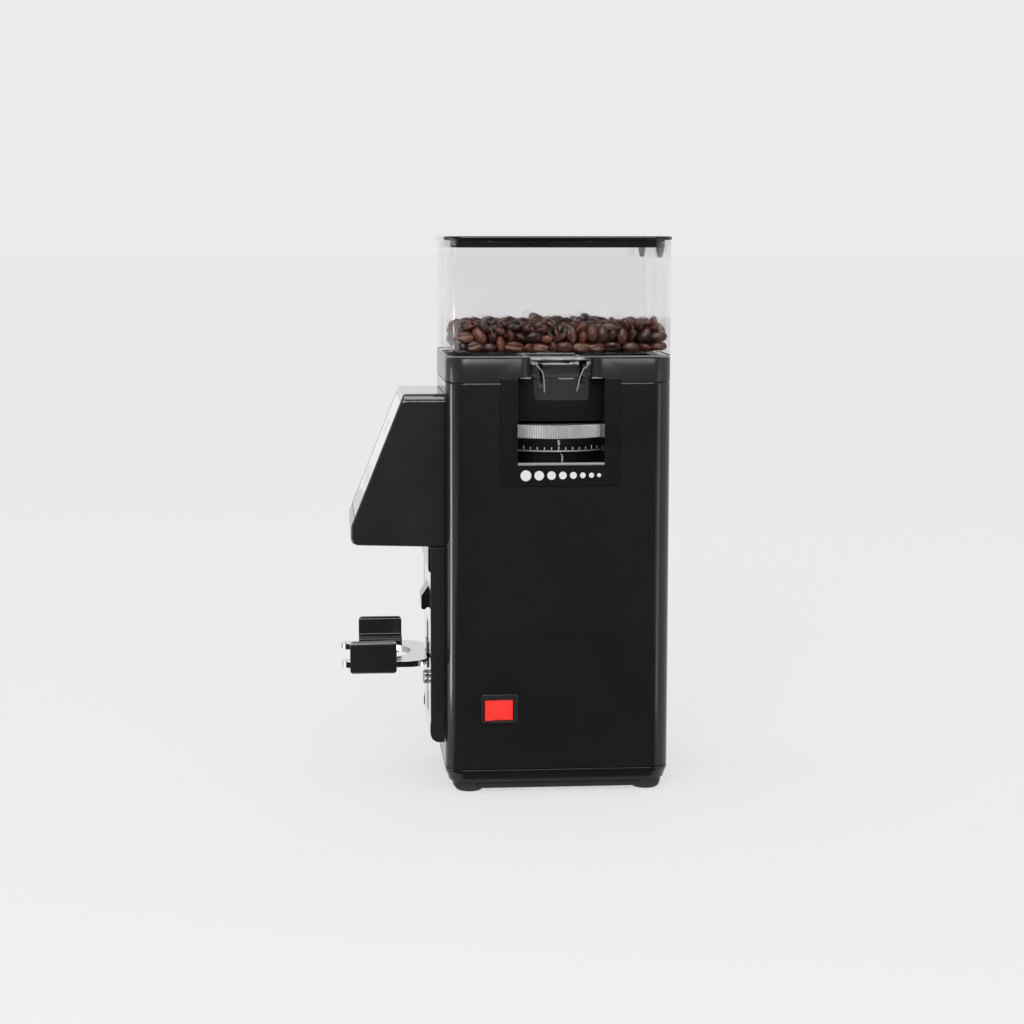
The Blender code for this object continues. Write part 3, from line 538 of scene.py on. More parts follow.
# pale grey strips under the collar beside the handle: painted highlight lines
piece("collar_edge_front", box(58.2, 59.05, 48.2, 55.2, 274.4, 275.25), M_PALE_EDGE_HIGHLIGHT, "base", bevel=0.2, segments=2)
piece("collar_edge_rear", box(58.2, 59.05, 94.9, 102.2, 274.4, 275.25), M_PALE_EDGE_HIGHLIGHT, "base", bevel=0.2, segments=2)
panel = combine(
    box(34, 35.7, 44.8, 105.2, 244.8, 272.6),
    add(box(35.0, 37.5, 47.2, 102.7, 244.8, 246.6)),
)
piece("recess_panel_fine", panel, M_DARK, "base", ["recess_panel"], bevel=0.3, segments=2)

DOTS = [(51.8, 7.1), (60.5, 6.3), (68.6, 5.6), (76.0, 5.05), (82.9, 4.55), (89.1, 3.8), (94.8, 3.4), (99.8, 2.65)]
dots = bmesh.new()
for b, d in DOTS:
    low = [dots.verts.new(P(60.19, pb, pz)) for pb, pz in circle(b, 211.3, d / 2, 40)]
    high = [dots.verts.new(P(60.255, pb, pz)) for pb, pz in circle(b, 211.3, d / 2 - 0.05, 40)]
    dots.faces.new(list(reversed(low)))
    dots.faces.new(high)
    for i in range(40):
        dots.faces.new((low[i], low[(i + 1) % 40], high[(i + 1) % 40], high[i]))
bmesh.ops.recalc_face_normals(dots, faces=dots.faces[:])
piece("grind_size_dots", dots, M_PRINT, "base")

# ------------------------------------------------------------ adjustment ring
KNURLS = 180


def knurl(i, k):
    return -0.42 if (i in (5, 6) and k % 2) else 0.0


ring = turned([(38.8, 224.9), (44.5, 224.9), (45.0, 225.3), (45.0, 226.0), (43.0, 226.0), (43.0, 233.8)], 4)
ring.free()
ring = turned([(38.8, 224.9), (44.6, 224.9), (45.0, 225.25), (45.0, 226.0), (43.0, 226.0), (43.0, 233.8), (44.6, 233.8), (45.0, 234.2), (45.0, 241.8), (44.55, 242.5), (44.0, 242.6), (28, 242.5), (28, 240.2), (38.8, 240.2)],
              2 * KNURLS, radial=lambda i, k: -0.75 if (i in (7, 8) and k % 2) else 0.0)
piece("ring_fine", ring, M_RING, "adjust_ring", ["adjust_ring"], angle=25)
band = turned([(43.35, 226.3), (44.75, 226.3), (44.9, 226.45), (44.9, 233.35), (44.75, 233.5), (43.35, 233.5)], 240)
piece("scale_band_fine", band, M_DARK, "adjust_ring", ["scale_band"], angle=40)


def on_band(angle, z, r):
    return P(r * cos(angle), AXIS_B + r * sin(angle), z)


marks = bmesh.new()


def mark(a0, a1, z0, z1, r0=44.86, r1=44.97):
    steps = 3
    rows = []
    for k in range(steps + 1):
        a = a0 + (a1 - a0) * k / steps
        rows.append([marks.verts.new(on_band(a, z, r)) for z, r in ((z0, r0), (z0, r1), (z1, r1), (z1, r0))])
    for low, high in zip(rows, rows[1:]):
        for i in range(4):
            j = (i + 1) % 4
            marks.faces.new((low[i], low[j], high[j], high[i]))
    marks.faces.new(list(reversed(rows[0])))
    marks.faces.new(rows[-1])


for k in range(60):
    a = radians(6.0 * k)
    wide = 0.26 / 45.0
    mark(a - wide, a + wide, 226.45, 229.1 if k % 5 == 0 else 228.2)
bmesh.ops.recalc_face_normals(marks, faces=marks.faces[:])
piece("scale_ticks", marks, M_PRINT, "adjust_ring")


def numeral(text, angle, z, size, name):
    """A generic numeral wrapped round the band."""
    curve = bpy.data.curves.new(name, "FONT")
    curve.body = text
    curve.size = size * MM
    curve.extrude = 0.05 * MM
    curve.align_x = "CENTER"
    curve.resolution_u = 6
    tmp = bpy.data.objects.new(name + "_text", curve)
    bpy.context.scene.collection.objects.link(tmp)
    bpy.context.view_layer.update()
    graph = bpy.context.evaluated_depsgraph_get()
    mesh = bpy.data.meshes.new_from_object(tmp.evaluated_get(graph))
    bpy.data.objects.remove(tmp, do_unlink=True)
    bm = bmesh.new()
    bm.from_mesh(mesh)
    bmesh.ops.remove_doubles(bm, verts=bm.verts[:], dist=1e-7)
    for v in bm.verts:
        u, up, out = v.co.x / MM, v.co.y / MM, v.co.z / MM
        v.co = on_band(angle + u / 44.9, z + up, 44.92 + out)
    return bm


numerals = bmesh.new()
for k, text in enumerate(("5", "6", "1", "2", "3", "4")):
    part = numeral(text, radians(60.0 * k), 229.8, 4.35, "numeral_" + text)
    mesh = bpy.data.meshes.new("numeral_part")
    part.to_mesh(mesh)
    part.free()
    numerals.from_mesh(mesh)
piece("scale_numerals", numerals, M_PRINT, "adjust_ring")

# -------------------------------------------------------------------- hopper
hopper = combine(
    skin([ring_at(3.6, 289.0, 9.4), ring_at(2.8, 288.85), ring_at(2.5, 288.5), ring_at(2.5, 288.0), ring_at(0.6, 288.0), ring_at(0.2, 288.15), ring_at(0.0, 288.5),
          ring_at(0.0, 362.7), ring_at(0.2, 363.2), ring_at(0.7, 363.4),
          ring_at(1.8, 363.4), ring_at(2.3, 363.2), ring_at(2.5, 362.7), ring_at(2.5, 292.2), ring_at(2.9, 291.3), ring_at(3.9, 291.0, 9.0)]),
    add(box(-56, 33, 53, 97, 280.5, 289.5)),
    add(turned([(0, 262), (21.2, 262), (21.8, 262.6), (21.8, 281.5), (0, 281.5)], 72)),
    cut(box(-62, 40, 55.8, 94.2, 283.2, 286.4)),
    cut(turned([(0, 260), (18, 260), (18, 296), (0, 296)], 72)),
)
piece("hopper_fine", hopper, M_CLEAR, "hopper", ["hopper_body"], angle=30)
# a pale grey line where the hopper's lower rim meets the collar: a painted highlight along the rim
rim = skin([ring_at(-0.03, 288.35), ring_at(-0.03, 289.2), ring_at(0.5, 289.2), ring_at(0.5, 288.35)], closed=True)
piece("hopper_rim_line", rim, M_RIM_PAINTED_HIGHLIGHT, "hopper", angle=30)

HANDLE = [(57.6, 260.4), (92.5, 260.4), (93.3, 276.5), (94.15, 277.3), (94.15, 286.5), (55.95, 286.5), (55.95, 277.3), (56.8, 276.5)]
shutter = combine(
    box(-54, 56, 56.1, 93.9, 283.5, 286.1),
    add(extrude(rounded(HANDLE, [1.8, 1.8, 0.4, 0.4, 0, 0, 0.4, 0.4], 5), 55.0, 58.0, "X")),
    add(extrude([(55.5, 268), (55.5, 284), (41, 284)], 61.0, 63.0, "Y")),
    add(extrude([(55.5, 268), (55.5, 284), (41, 284)], 87.0, 89.0, "Y")),
    cut(turned([(0, 282), (17.5, 282), (17.5, 288), (0, 288)], 64)),
)
piece("shutter_fine", shutter, M_CLEAR_THICK, "hopper_shutter", ["hopper_shutter"], bevel=0.35, segments=3, angle=40)


def rib_line(name, points, wide=0.36):
    """A raised moulded line on the handle, through (b, z) points; its pale grey paints the highlight along it."""
    left, right = [], []
    for i, (b, z) in enumerate(points):
        p0, p1 = Vector(points[max(i - 1, 0)]), Vector(points[min(i + 1, len(points) - 1)])
        d = (p1 - p0).normalized()
        left.append((b - d.y * wide, z + d.x * wide))
        right.append((b + d.y * wide, z - d.x * wide))
    return extrude(left + list(reversed(right)), 58.0, 58.55, "X")


piece("handle_rib_front", rib_line("front", [(58.8, 283.2), (62.6, 279.0), (63.6, 274.0), (63.9, 265.6)]), M_RIB_PAINTED_HIGHLIGHT, "hopper_shutter", bevel=0.15)
piece("handle_rib_rear", rib_line("rear", [(92.6, 283.2), (89.4, 280.6), (87.2, 275.5), (85.0, 266.2)]), M_RIB_PAINTED_HIGHLIGHT, "hopper_shutter", bevel=0.15)
piece("handle_bar", rib_line("bar", [(73.2, 274.6), (75.0, 274.35), (81.0, 274.35), (82.8, 274.6)], 0.34), M_RIB_PAINTED_HIGHLIGHT, "hopper_shutter", bevel=0.15)


def lid_ring(inset, z):
    r = max(14.6 - inset, 5.0)
    return [P(x, b, z) for x, b in rounded(rect(-60.7 + inset, 60.7 - inset, -1.2 + inset, DEPTH + 0.5 - inset), r, 14)]


def peg(x):
    rows = []
    for z, half, b0, b1 in ((352.5, 1.2, 141.1, 143.4), (352.8, 1.6, 140.7, 143.8), (355.6, 1.9, 140.4, 144.1), (356.2, 2.3, 139.9, 144.5), (363.9, 2.5, 139.7, 144.7)):
        rows.append([P(px, pb, z) for px, pb in rounded(rect(x - half, x + half, b0, b1), 0.6, 4)])
    return skin(rows)


lid = combine(
    skin([lid_ring(1.3, 366.4), lid_ring(0.6, 366.32), lid_ring(0.2, 366.05), lid_ring(0.0, 365.6), lid_ring(0.0, 364.9), lid_ring(0.25, 364.3), lid_ring(1.0, 363.7),
          lid_ring(4.7, 363.7), lid_ring(4.7, 359.4), lid_ring(5.0, 359.05), lid_ring(6.3, 359.05), lid_ring(6.7, 359.4), lid_ring(6.7, 363.9)]),
    add(peg(38)),
    add(peg(-38)),
)
piece("lid_fine", lid, M_LID, "hopper_lid", ["hopper_lid"], angle=32)

# ------------------------------------------------------------- coffee beans
BEAN_A, BEAN_B, BEAN_C = 5.65, 4.05, 3.55


def settle(count, lo, hi, seed, r=3.42, d=2.15, rounds=260):
    """Capsules poured into the hopper and pushed apart until they rest on each other."""
    rng = np.random.default_rng(seed)
    c = rng.uniform([lo[0] + 4, lo[1] + 4, lo[2] + 4], [hi[0] - 4, hi[1] - 4, lo[2] + 52], (count, 3))
    ax = rng.normal(size=(count, 3)) * [1.0, 1.0, 0.55]
    ax /= np.linalg.norm(ax, axis=1)[:, None]
    s = np.array([-d, 0.0, d])
    pts = c[:, None, :] + ax[:, None, :] * s[None, :, None]
    owner = np.repeat(np.arange(count), 3)
    reach = 2 * r + 1.6
    ii = jj = None
    for it in range(rounds):
        pts[:, :, 2] -= 0.9 if it < rounds * 0.6 else (0.45 if it < rounds * 0.85 else 0.12)
        flat = pts.reshape(-1, 3)
        if it % 5 == 0:
            ii, jj = [], []
            order = np.argsort(flat[:, 1], kind="stable")
            ys = flat[order, 1]
            ends = np.searchsorted(ys, ys + reach)
            for a in range(len(order)):
                if ends[a] - a > 1:
                    cand = order[a + 1:ends[a]]
                    near = cand[(np.abs(flat[cand, 0] - flat[order[a], 0]) < reach) & (np.abs(flat[cand, 2] - flat[order[a], 2]) < reach) & (owner[cand] != owner[order[a]])]
                    ii.append(np.full(len(near), order[a]))
                    jj.append(near)
            ii, jj = np.concatenate(ii), np.concatenate(jj)
        for _ in range(3):
            flat = pts.reshape(-1, 3)
            dv = flat[ii] - flat[jj]
            dist = np.maximum(np.linalg.norm(dv, axis=1), 1e-4)
            over = np.maximum(2 * r - dist, 0.0)
            push = dv / dist[:, None] * (over * 0.42)[:, None]
            for axis in range(3):
                flat[:, axis] += np.bincount(ii, push[:, axis], len(flat)) - np.bincount(jj, push[:, axis], len(flat))
            flat[:, 0] = np.clip(flat[:, 0], lo[0] + r, hi[0] - r)
            flat[:, 1] = np.clip(flat[:, 1], lo[1] + r, hi[1] - r)
            flat[:, 2] = np.maximum(flat[:, 2], lo[2] + r)
            pts = flat.reshape(-1, 3, 3)
            mid = pts.mean(axis=1)
            ax = pts[:, 2] - pts[:, 0]
            ax /= np.maximum(np.linalg.norm(ax, axis=1), 1e-6)[:, None]
            pts = mid[:, None, :] + ax[:, None, :] * s[None, :, None]
    return pts[:, 1], ax


def bean_shape(rng):
    """One roasted bean along X, its grooved flat side down. Returns points, faces and how deep in the groove each point is."""
    a = BEAN_A * rng.uniform(0.90, 1.08)
    b = BEAN_B * rng.uniform(0.92, 1.06)
    c = BEAN_C * rng.uniform(0.90, 1.06)
    bend = rng.uniform(0.25, 0.75) * rng.choice([-1.0, 1.0])
    sections = [radians(v) for v in (-90, -82, -73, -60, -40, -10, 25, 60, 90, 120, 155, 190, 220, 240, 253, 262)]
    along = [radians(v) for v in (9, 22, 38, 55, 72, 90, 108, 125, 142, 158, 171)]
    pts, groove = [(a, 0.0, -0.2)], [0.3]
    for th in along:
        x = a * cos(th)
        s = sin(th) ** 0.86
        for ph in sections:
            y = b * s * cos(ph)
            low = sin(ph) < 0
            z = c * s * sin(ph) * (0.52 if low else 1.0)
            g = 0.0
            if low:
                line = bend * sin(x / a * 2.6)
                g = np.exp(-((y - line) / 0.62) ** 2) * min(1.0, max(0.0, (s - 0.22) / 0.3))
                z += 1.15 * g
            pts.append((x, y, z))
            groove.append(float(g))
    pts.append((-a, 0.0, -0.2))
    groove.append(0.3)
    n = len(sections)
    faces = []
    for k in range(n):
        faces.append((0, 1 + (k + 1) % n, 1 + k))
    for r in range(len(along) - 1):
        o = 1 + r * n
        for k in range(n):
            j = (k + 1) % n
            faces.append((o + k, o + j, o + n + j, o + n + k))
    o = 1 + (len(along) - 1) * n
    for k in range(n):
        faces.append((len(pts) - 1, o + k, o + (k + 1) % n))
    return np.array(pts), faces, np.array(groove)


def make_beans():
    rng = np.random.default_rng(41)
    lo, hi = (-57.0, 7.0, 291.1), (57.0, DEPTH - 3.4, 360.0)
    count = 664
    centres, axes = settle(count, lo, hi, 7)
    tops = np.sort(centres[:, 2])[-60:].mean() + 3.4
    kinds = [bean_shape(rng) for _ in range(14)]
    groups = [[], []]
    for k in range(count):
        c, ax = centres[k], axes[k]
        wall = min(c[0] - lo[0], hi[0] - c[0], c[1] - lo[1], hi[1] - c[1])
        if wall > 17.0 and c[2] < tops - 15.0:
            continue
        groups[0 if c[0] > 0 else 1].append((c, ax))
    for gi, group in enumerate(groups):
        points, faces, tone, groove, base = [], [], [], [], 0
        for c, ax in group:
            pts, fs, gr = kinds[int(rng.integers(len(kinds)))]
            x = Vector(ax)
            side = x.orthogonal().normalized()
            roll = rng.uniform(0, 2 * pi)
            y = side * cos(roll) + x.cross(side) * sin(roll)
            z = x.cross(y)
            rot = np.array([x, y, z]).T
            grown = pts * rng.uniform(0.96, 1.03)
            world = grown @ rot.T + c
            shift = np.zeros(3)
            low_over = np.array(lo) - world.min(0)
            high_over = world.max(0) - np.array(hi)
            shift += np.maximum(low_over, 0) - np.maximum(high_over, 0)
            world = world + shift
            points.append(world)
            faces += [tuple(i + base for i in f) for f in fs]
            base += len(pts)
            tone += [float(np.clip(rng.normal(0.46, 0.24), 0.0, 1.0))] * len(pts)
            groove += list(gr * 0.75)
        points = np.concatenate(points)
        mesh = bpy.data.meshes.new("beans")
        mesh.from_pydata([tuple(P(*p)) for p in points], [], faces)
        for name, values in (("tone", tone), ("groove", groove)):
            att = mesh.attributes.new(name, "FLOAT", "POINT")
            att.data.foreach_set("value", np.array(values, np.float32))
        mesh.update()
        mesh.shade_smooth()
        obj = bpy.data.objects.new("beans_%s" % ("right" if gi == 0 else "left"), mesh)
        bpy.context.scene.collection.objects.link(obj)
        obj.data.materials.append(M_BEAN)
        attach(obj, "hopper")
    # a filler surface inside the heap where the inner beans are left out; its dark tone paints the shade deep between
    # the beans
    heap = bmesh.new()
    nx, ny = 12, 14
    x0, x1, b0, b1 = lo[0] + 13, hi[0] - 13, lo[1] + 13, hi[1] - 13
    rows = []
    for j in range(ny + 1):
        row = []
        for i in range(nx + 1):
            edge = min(i, nx - i, j, ny - j)
            z = 292.0 + (tops - 12.0 - 292.0) * min(1.0, edge / 2.0) + 0.8 * sin(i * 1.7 + j * 0.9)
            row.append(heap.verts.new(P(x0 + (x1 - x0) * i / nx, b0 + (b1 - b0) * j / ny, max(z, 291.6))))
        rows.append(row)
    for j in range(ny):
        for i in range(nx):
            heap.faces.new((rows[j][i], rows[j][i + 1], rows[j + 1][i + 1], rows[j + 1][i]))
    edge_loop = rows[0] + [r[-1] for r in rows[1:-1]] + list(reversed(rows[-1])) + [r[0] for r in reversed(rows[1:-1])]
    low = [heap.verts.new(Vector((v.co.x, v.co.y, 0.2914))) for v in edge_loop]
    for k in range(len(edge_loop)):
        j = (k + 1) % len(edge_loop)
        heap.faces.new((edge_loop[k], edge_loop[j], low[j], low[k]))
    heap.faces.new(low)
    bmesh.ops.recalc_face_normals(heap, faces=heap.faces[:])
    obj = as_object(heap, "beans_heart")
    # the low tone here is painted shade, darker than the beans around it
    for name, value in (("tone", 0.12), ("groove", 0.0)):
        att = obj.data.attributes.new(name, "FLOAT", "POINT")
        att.data.foreach_set("value", np.full(len(obj.data.vertices), value, np.float32))
    obj.data.materials.append(M_BEAN)
    obj.data.shade_smooth()
    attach(obj, "hopper")
    print("beans", [len(g) for g in groups], "top", round(tops, 1))


make_beans()

# ------------------------------------------------- front housing and column
HOUSE = [(-0.3, 263.5), (-27.0, 263.5), (-61.8, 176.5), (-62.0, 168.2), (-60.9, 165.4), (-58.0, 164.0), (-0.3, 162.3)]
HOUSE_R = [6.0, 2.2, 2.2, 2.2, 2.2, 2.2, 0.0]


def house_section(x):
    amounts = []
    for r in HOUSE_R:
        over = abs(x) - (44.0 - r)
        amounts.append(r - sqrt(max(r * r - over * over, 0.0)) if r > 0 and over > 0 else 0.0)
    poly = inset_polygon(HOUSE, amounts)
    return [P(x, b, z) for b, z in rounded(poly, [0, 2.2, 5.0, 1.6, 1.4, 1.6, 0], 4)]


SLOPE_TOP = Vector((-27.0, 263.5))
SLOPE_D = (Vector((-61.8, 176.5)) - SLOPE_TOP).normalized()
SLOPE_N = Vector((-SLOPE_D.y, SLOPE_D.x))


def slope_point(s, x, d):
    p = SLOPE_TOP + SLOPE_D * s + SLOPE_N * d
    return P(x, p.x, p.y)


def slope_plate(s0, s1, d0, d1, half, radius=0.0, n=6):
    if radius <= 0:
        pts = rect(-half, half, s0, s1)
    else:
        pts = rounded(rect(-half, half, s0, s1), radius, n)
    return skin([[slope_point(s, x, d0) for x, s in pts], [slope_point(s, x, d1) for x, s in pts]])


half_stations = [0.0, 30.0, 38.0, 38.6, 39.6, 40.7, 41.7, 42.3, 42.9, 43.3, 43.65, 43.88, 44.0]
stations = [-x for x in reversed(half_stations[1:])] + half_stations
housing = combine(
    skin([house_section(x) for x in stations]),
    cut(extrude([(1, 261.1), (-22.8, 261.1), (-56.4, 177), (-57.2, 170.2), (-53.5, 166.2), (1, 164.6)], -41.6, 41.6, "X")),
    cut(slope_plate(4.8, 88.0, -2.0, 2.4, 40.3, 3.3)),
    cut(slope_plate(9.0, 84.0, 1.0, 7.0, 36.0)),
    cut(box(-15.6, 15.6, -54.1, -29.9, 160, 170)),
)
piece("housing_fine", housing, M_HOUSE, "base", ["front_housing"], angle=26)
piece("display_glass_fine", slope_plate(5.1, 87.7, 0.1, 2.1, 40.0, 3.0), M_GLASS, "base", ["display_panel"], bevel=0.35, segments=3)

icons = bmesh.new()


def icon_shape(outline_pts, holes=None, d0=0.12, d1=0.04):
    low = [icons.verts.new(slope_point(s, x, d0)) for x, s in outline_pts]
    high = [icons.verts.new(slope_point(s, x, d1)) for x, s in outline_pts]
    n = len(outline_pts)
    if holes is None:
        icons.faces.new(high)
        icons.faces.new(list(reversed(low)))
        for i in range(n):
            icons.faces.new((low[i], low[(i + 1) % n], high[(i + 1) % n], high[i]))
        return
    low2 = [icons.verts.new(slope_point(s, x, d0)) for x, s in holes]
    high2 = [icons.verts.new(slope_point(s, x, d1)) for x, s in holes]
    for i in range(n):
        j = (i + 1) % n
        icons.faces.new((high[i], high[j], high2[j], high2[i]))
        icons.faces.new((low[i], low[j], low2[j], low2[i]))
        icons.faces.new((low[i], low[j], high[j], high[i]))
        icons.faces.new((low2[i], low2[j], high2[j], high2[i]))


def segment(x, s, w, h, horizontal):
    t = 0.42
    if horizontal:
        pts = [(x - w / 2, s), (x - w / 2 + t, s - t), (x + w / 2 - t, s - t), (x + w / 2, s), (x + w / 2 - t, s + t), (x - w / 2 + t, s + t)]
    else:
        pts = [(x, s - h / 2), (x + t, s - h / 2 + t), (x + t, s + h / 2 - t), (x, s + h / 2), (x - t, s + h / 2 - t), (x - t, s - h / 2 + t)]
    icon_shape(pts)


DIGITS = {"0": "abcdef", "8": "abcdefg", "5": "afgcd", "1": "bc", "2": "abged", "7": "abc"}


def digit(ch, x, s, w=5.2, h=10.0):
    on = DIGITS[ch]
    q = h / 4
    for key, (dx, ds, horiz) in {"a": (0, -h / 2, True), "g": (0, 0, True), "d": (0, h / 2, True), "f": (-w / 2, -q, False),
                                 "b": (w / 2, -q, False), "e": (-w / 2, q, False), "c": (w / 2, q, False)}.items():
        if key in on:
            segment(x + dx, s + ds, w - 0.9, h / 2 - 0.9, horiz)


digit("1", -9.6, 27.0)
digit("2", -1.6, 27.0)
icon_shape(circle(2.9, 32.0, 0.55, 16))
digit("5", 8.0, 27.0)
for cx in (-20.0, 0.0, 20.0):
    icon_shape(circle(cx, 62.0, 7.0, 48), circle(cx, 62.0, 6.55, 48))
icon_shape(circle(-20.0, 62.0, 1.5, 24))
icon_shape(circle(-2.1, 62.0, 1.5, 24))
icon_shape(circle(2.1, 62.0, 1.5, 24))
icon_shape(rect(17.6, 18.5, 59.4, 64.6))
icon_shape(rect(21.5, 22.4, 59.4, 64.6))
for sx in (-1, 1):
    icon_shape(rect(sx * 26.0 - 2.2, sx * 26.0 + 2.2, 44.7, 45.3))
icon_shape(rect(25.7, 26.3, 42.8, 44.7))
icon_shape(rect(25.7, 26.3, 45.3, 47.2))
bmesh.ops.recalc_face_normals(icons, faces=icons.faces[:])
piece("display_icons", icons, M_ICON, "base")

COLUMN = [(-0.3, 162.0), (-9.6, 162.0), (-9.6, 112.0), (-8.95, 60.0), (-9.15, 50.0), (-9.9, 42.5), (-9.9, 38.0), (-8.6, 33.4), (-5.6, 31.4), (-0.3, 31.4)]
column = combine(
    extrude(rounded(COLUMN, [0, 0, 8.0, 6.0, 5.0, 1.6, 2.2, 2.0, 2.0, 0], 5), -44, 44, "X"),
    cut(box(-41.3, 41.3, -14, -8.1, 33.7, 165)),
    cut(box(-41.0, 41.0, -6.0, 2, 36, 160)),
    cut(box(-10.5, 10.5, -14, 2, 42.5, 105.5)),
    cut(box(-12.0, 12.0, -14, 2, 114.5, 132.5)),
)
piece("column_fine", column, M_HOUSE, "base", ["front_column"], bevel=0.6, segments=3, angle=40)


def chamfered_slot(half, z0, z1):
    return skin([[P(x, -9.8, z) for x, z in rounded(rect(-half - 3.0, half + 3.0, z0 - 1.4, z1 + 1.4), 2.0, 5)],
                 [P(x, -8.85, z) for x, z in rounded(rect(-half, half, z0, z1), 0.8, 5)],
                 [P(x, -8.1, z) for x, z in rounded(rect(-half, half, z0, z1), 0.8, 5)]])


face = combine(
    extrude(rounded([(-41, 34), (41, 34), (41, 144.6), (-41, 144.6)], 1.0, 4), -9.5, -8.4, "Y"),
    cut(chamfered_slot(10.7, 42.3, 105.7)),
    cut(chamfered_slot(12.2, 114.3, 132.7)),
)
piece("face_plate_fine", face, M_POLISH, "base", ["column_face_plate"], angle=20)
piece("column_trim_fine", extrude(rounded([(-8.4, 161.8), (-11.0, 161.8), (-11.0, 145.0), (-8.4, 145.0)], [0, 0.8, 2.2, 0], 6), -40.8, 40.8, "X"),
      M_GLOSS, "base", ["column_top_trim"], bevel=0.3, segments=2, angle=50)

# -------------------------------------------------- fork, trigger and switch
carriage = combine(
    box(-10.0, 10.0, -9.0, -5.4, 56, 92),
    add(box(-10.0, 10.0, -10.3, -5.4, 75, 92)),
    add(box(-15.0, 15.0, -5.6, -3.4, 58, 90)),
    cut(box(-7.4, 7.4, -12, -6.2, 80.7, 84.9)),
    cut(turned([(0, -12), (2.8, -12), (2.8, -1), (0, -1)], 40, 0, 66.4, "Y")),
)
piece("carriage_fine", carriage, M_BLACK, "fork", ["fork_carriage"], bevel=0.5, segments=3, angle=40)

arc = [(25.0 * cos(w), -46.0 + 25.0 * sin(w)) for w in [pi * k / 40 for k in range(41)]]
fork_outline = rounded([(-36, -68), (-25, -68), (-25, -47), (25, -47), (25, -68), (36, -68), (36, -10.9), (-36, -10.9)], [5.45, 5.45, 0, 0, 5.45, 5.45, 13.0, 13.0], 10)
cornered = [p for p in fork_outline if not (abs(abs(p[0]) - 25.0) < 1e-6 and abs(p[1] + 47.0) < 1e-6)]
first_right = next(i for i, p in enumerate(cornered) if p[0] > 0)
fork_outline = cornered[:first_right] + list(reversed(arc)) + cornered[first_right:]
fork = combine(
    extrude(fork_outline, 80.8, 84.8),
    add(box(-7.0, 7.0, -13.0, -6.6, 81.1, 84.5)),
)
piece("fork_fine", fork, M_FORK, "fork", ["portafilter_fork"], bevel=0.7, segments=3, angle=45)

PAD_R = [0.8, 3.2, 2.4, 2.2, 1.5, 1.5, 0.8, 0.0, 0.0, 0.8]


def fork_pad(side, b0, b1, low, top):
    section = [(30.5, low), (41.8, low), (41.8, top), (37.0, top), (37.0, 88.4), (28.0, 88.4), (28.0, 85.2), (36.4, 85.2), (36.4, 80.4), (30.5, 80.4)]
    ends = extrude(rounded(rect(b0, b1, low - 0.01, top + 0.01), 2.8, 8), side * 27.0, side * 43.0, "X")
    return combine(extrude(rounded([(side * x, z) for x, z in section], PAD_R, 6), b0, b1, "Y"), ("INTERSECT", ends))


for label, sx, b0, b1, top in (("right", 1, -62.8, -32.0, 99.2), ("left", -1, -55.7, -25.8, 101.4)):
    piece("pad_fine_" + label, fork_pad(sx, b0, b1, 77.4, top), M_PAD, "fork", ["fork_pad_" + label], bevel=0.9, segments=4, angle=45)

screw = turned([(0, -12.6), (3.3, -12.6), (4.1, -12.35), (4.65, -11.7), (4.65, -9.9), (4.3, -9.4), (2.4, -9.4), (2.4, -2.0), (0, -2.0)], 72, 0, 66.4, "Y",
               radial=lambda i, k: -0.16 if (i in (3, 4) and k % 2) else 0.0)
piece("clamp_screw_fine", screw, M_SCREW, "clamp_screw", ["fork_clamp_screw"], angle=25)

TRIGGER = [(-5.4, 132.0), (-9.0, 132.0), (-14.2, 124.3), (-14.2, 115.9), (-13.4, 115.1), (-11.6, 115.1), (-10.2, 116.4), (-5.4, 116.4)]
trigger = combine(
    extrude(rounded(TRIGGER, [0, 0.8, 1.2, 0.4, 0.4, 0.8, 0.8, 0], 4), -11.5, 11.5, "X"),
    add(box(-14, 14, -5.6, -3.8, 113, 134)),
)
piece("trigger_fine", trigger, M_GLOSS, "start_trigger", ["start_trigger"], bevel=0.45, segments=3, angle=45)

switch_bezel = combine(
    extrude(rounded([(22.6, 47.6), (47.0, 47.6), (47.0, 66.7), (22.6, 66.7)], 1.2, 4), 60.3, 61.5, "X"),
    add(box(46, 60.5, 23.6, 46.0, 48.6, 65.7)),
    cut(extrude(rounded([(24.6, 49.2), (44.1, 49.2), (44.1, 63.4), (24.6, 63.4)], 0.5, 3), 48, 63, "X")),
)
piece("switch_bezel_fine", switch_bezel, M_BEZEL, "base", ["rocker_bezel"], bevel=0.25, segments=3, angle=45)

tilt = radians(7.0)
button = []
face_pts = [(1.2 - 1.15 * (1 - (abs(u) / 9.3) ** 1.25), u) for u in [-9.3 + 18.6 * k / 12 for k in range(13)]]
for v, u in face_pts + [(0.2, 9.35), (-1.0, 9.3), (-7.0, 6.3), (-7.0, -6.3), (-1.0, -9.3), (0.2, -9.35)]:
    button.append((60.6 + v * cos(tilt) - u * sin(tilt), 34.35 + v * sin(tilt) + u * cos(tilt)))
piece("rocker_fine", extrude(button, 49.6, 63.0), M_RED, "rocker_button", ["rocker_button"], bevel=0.35, segments=3, angle=40)

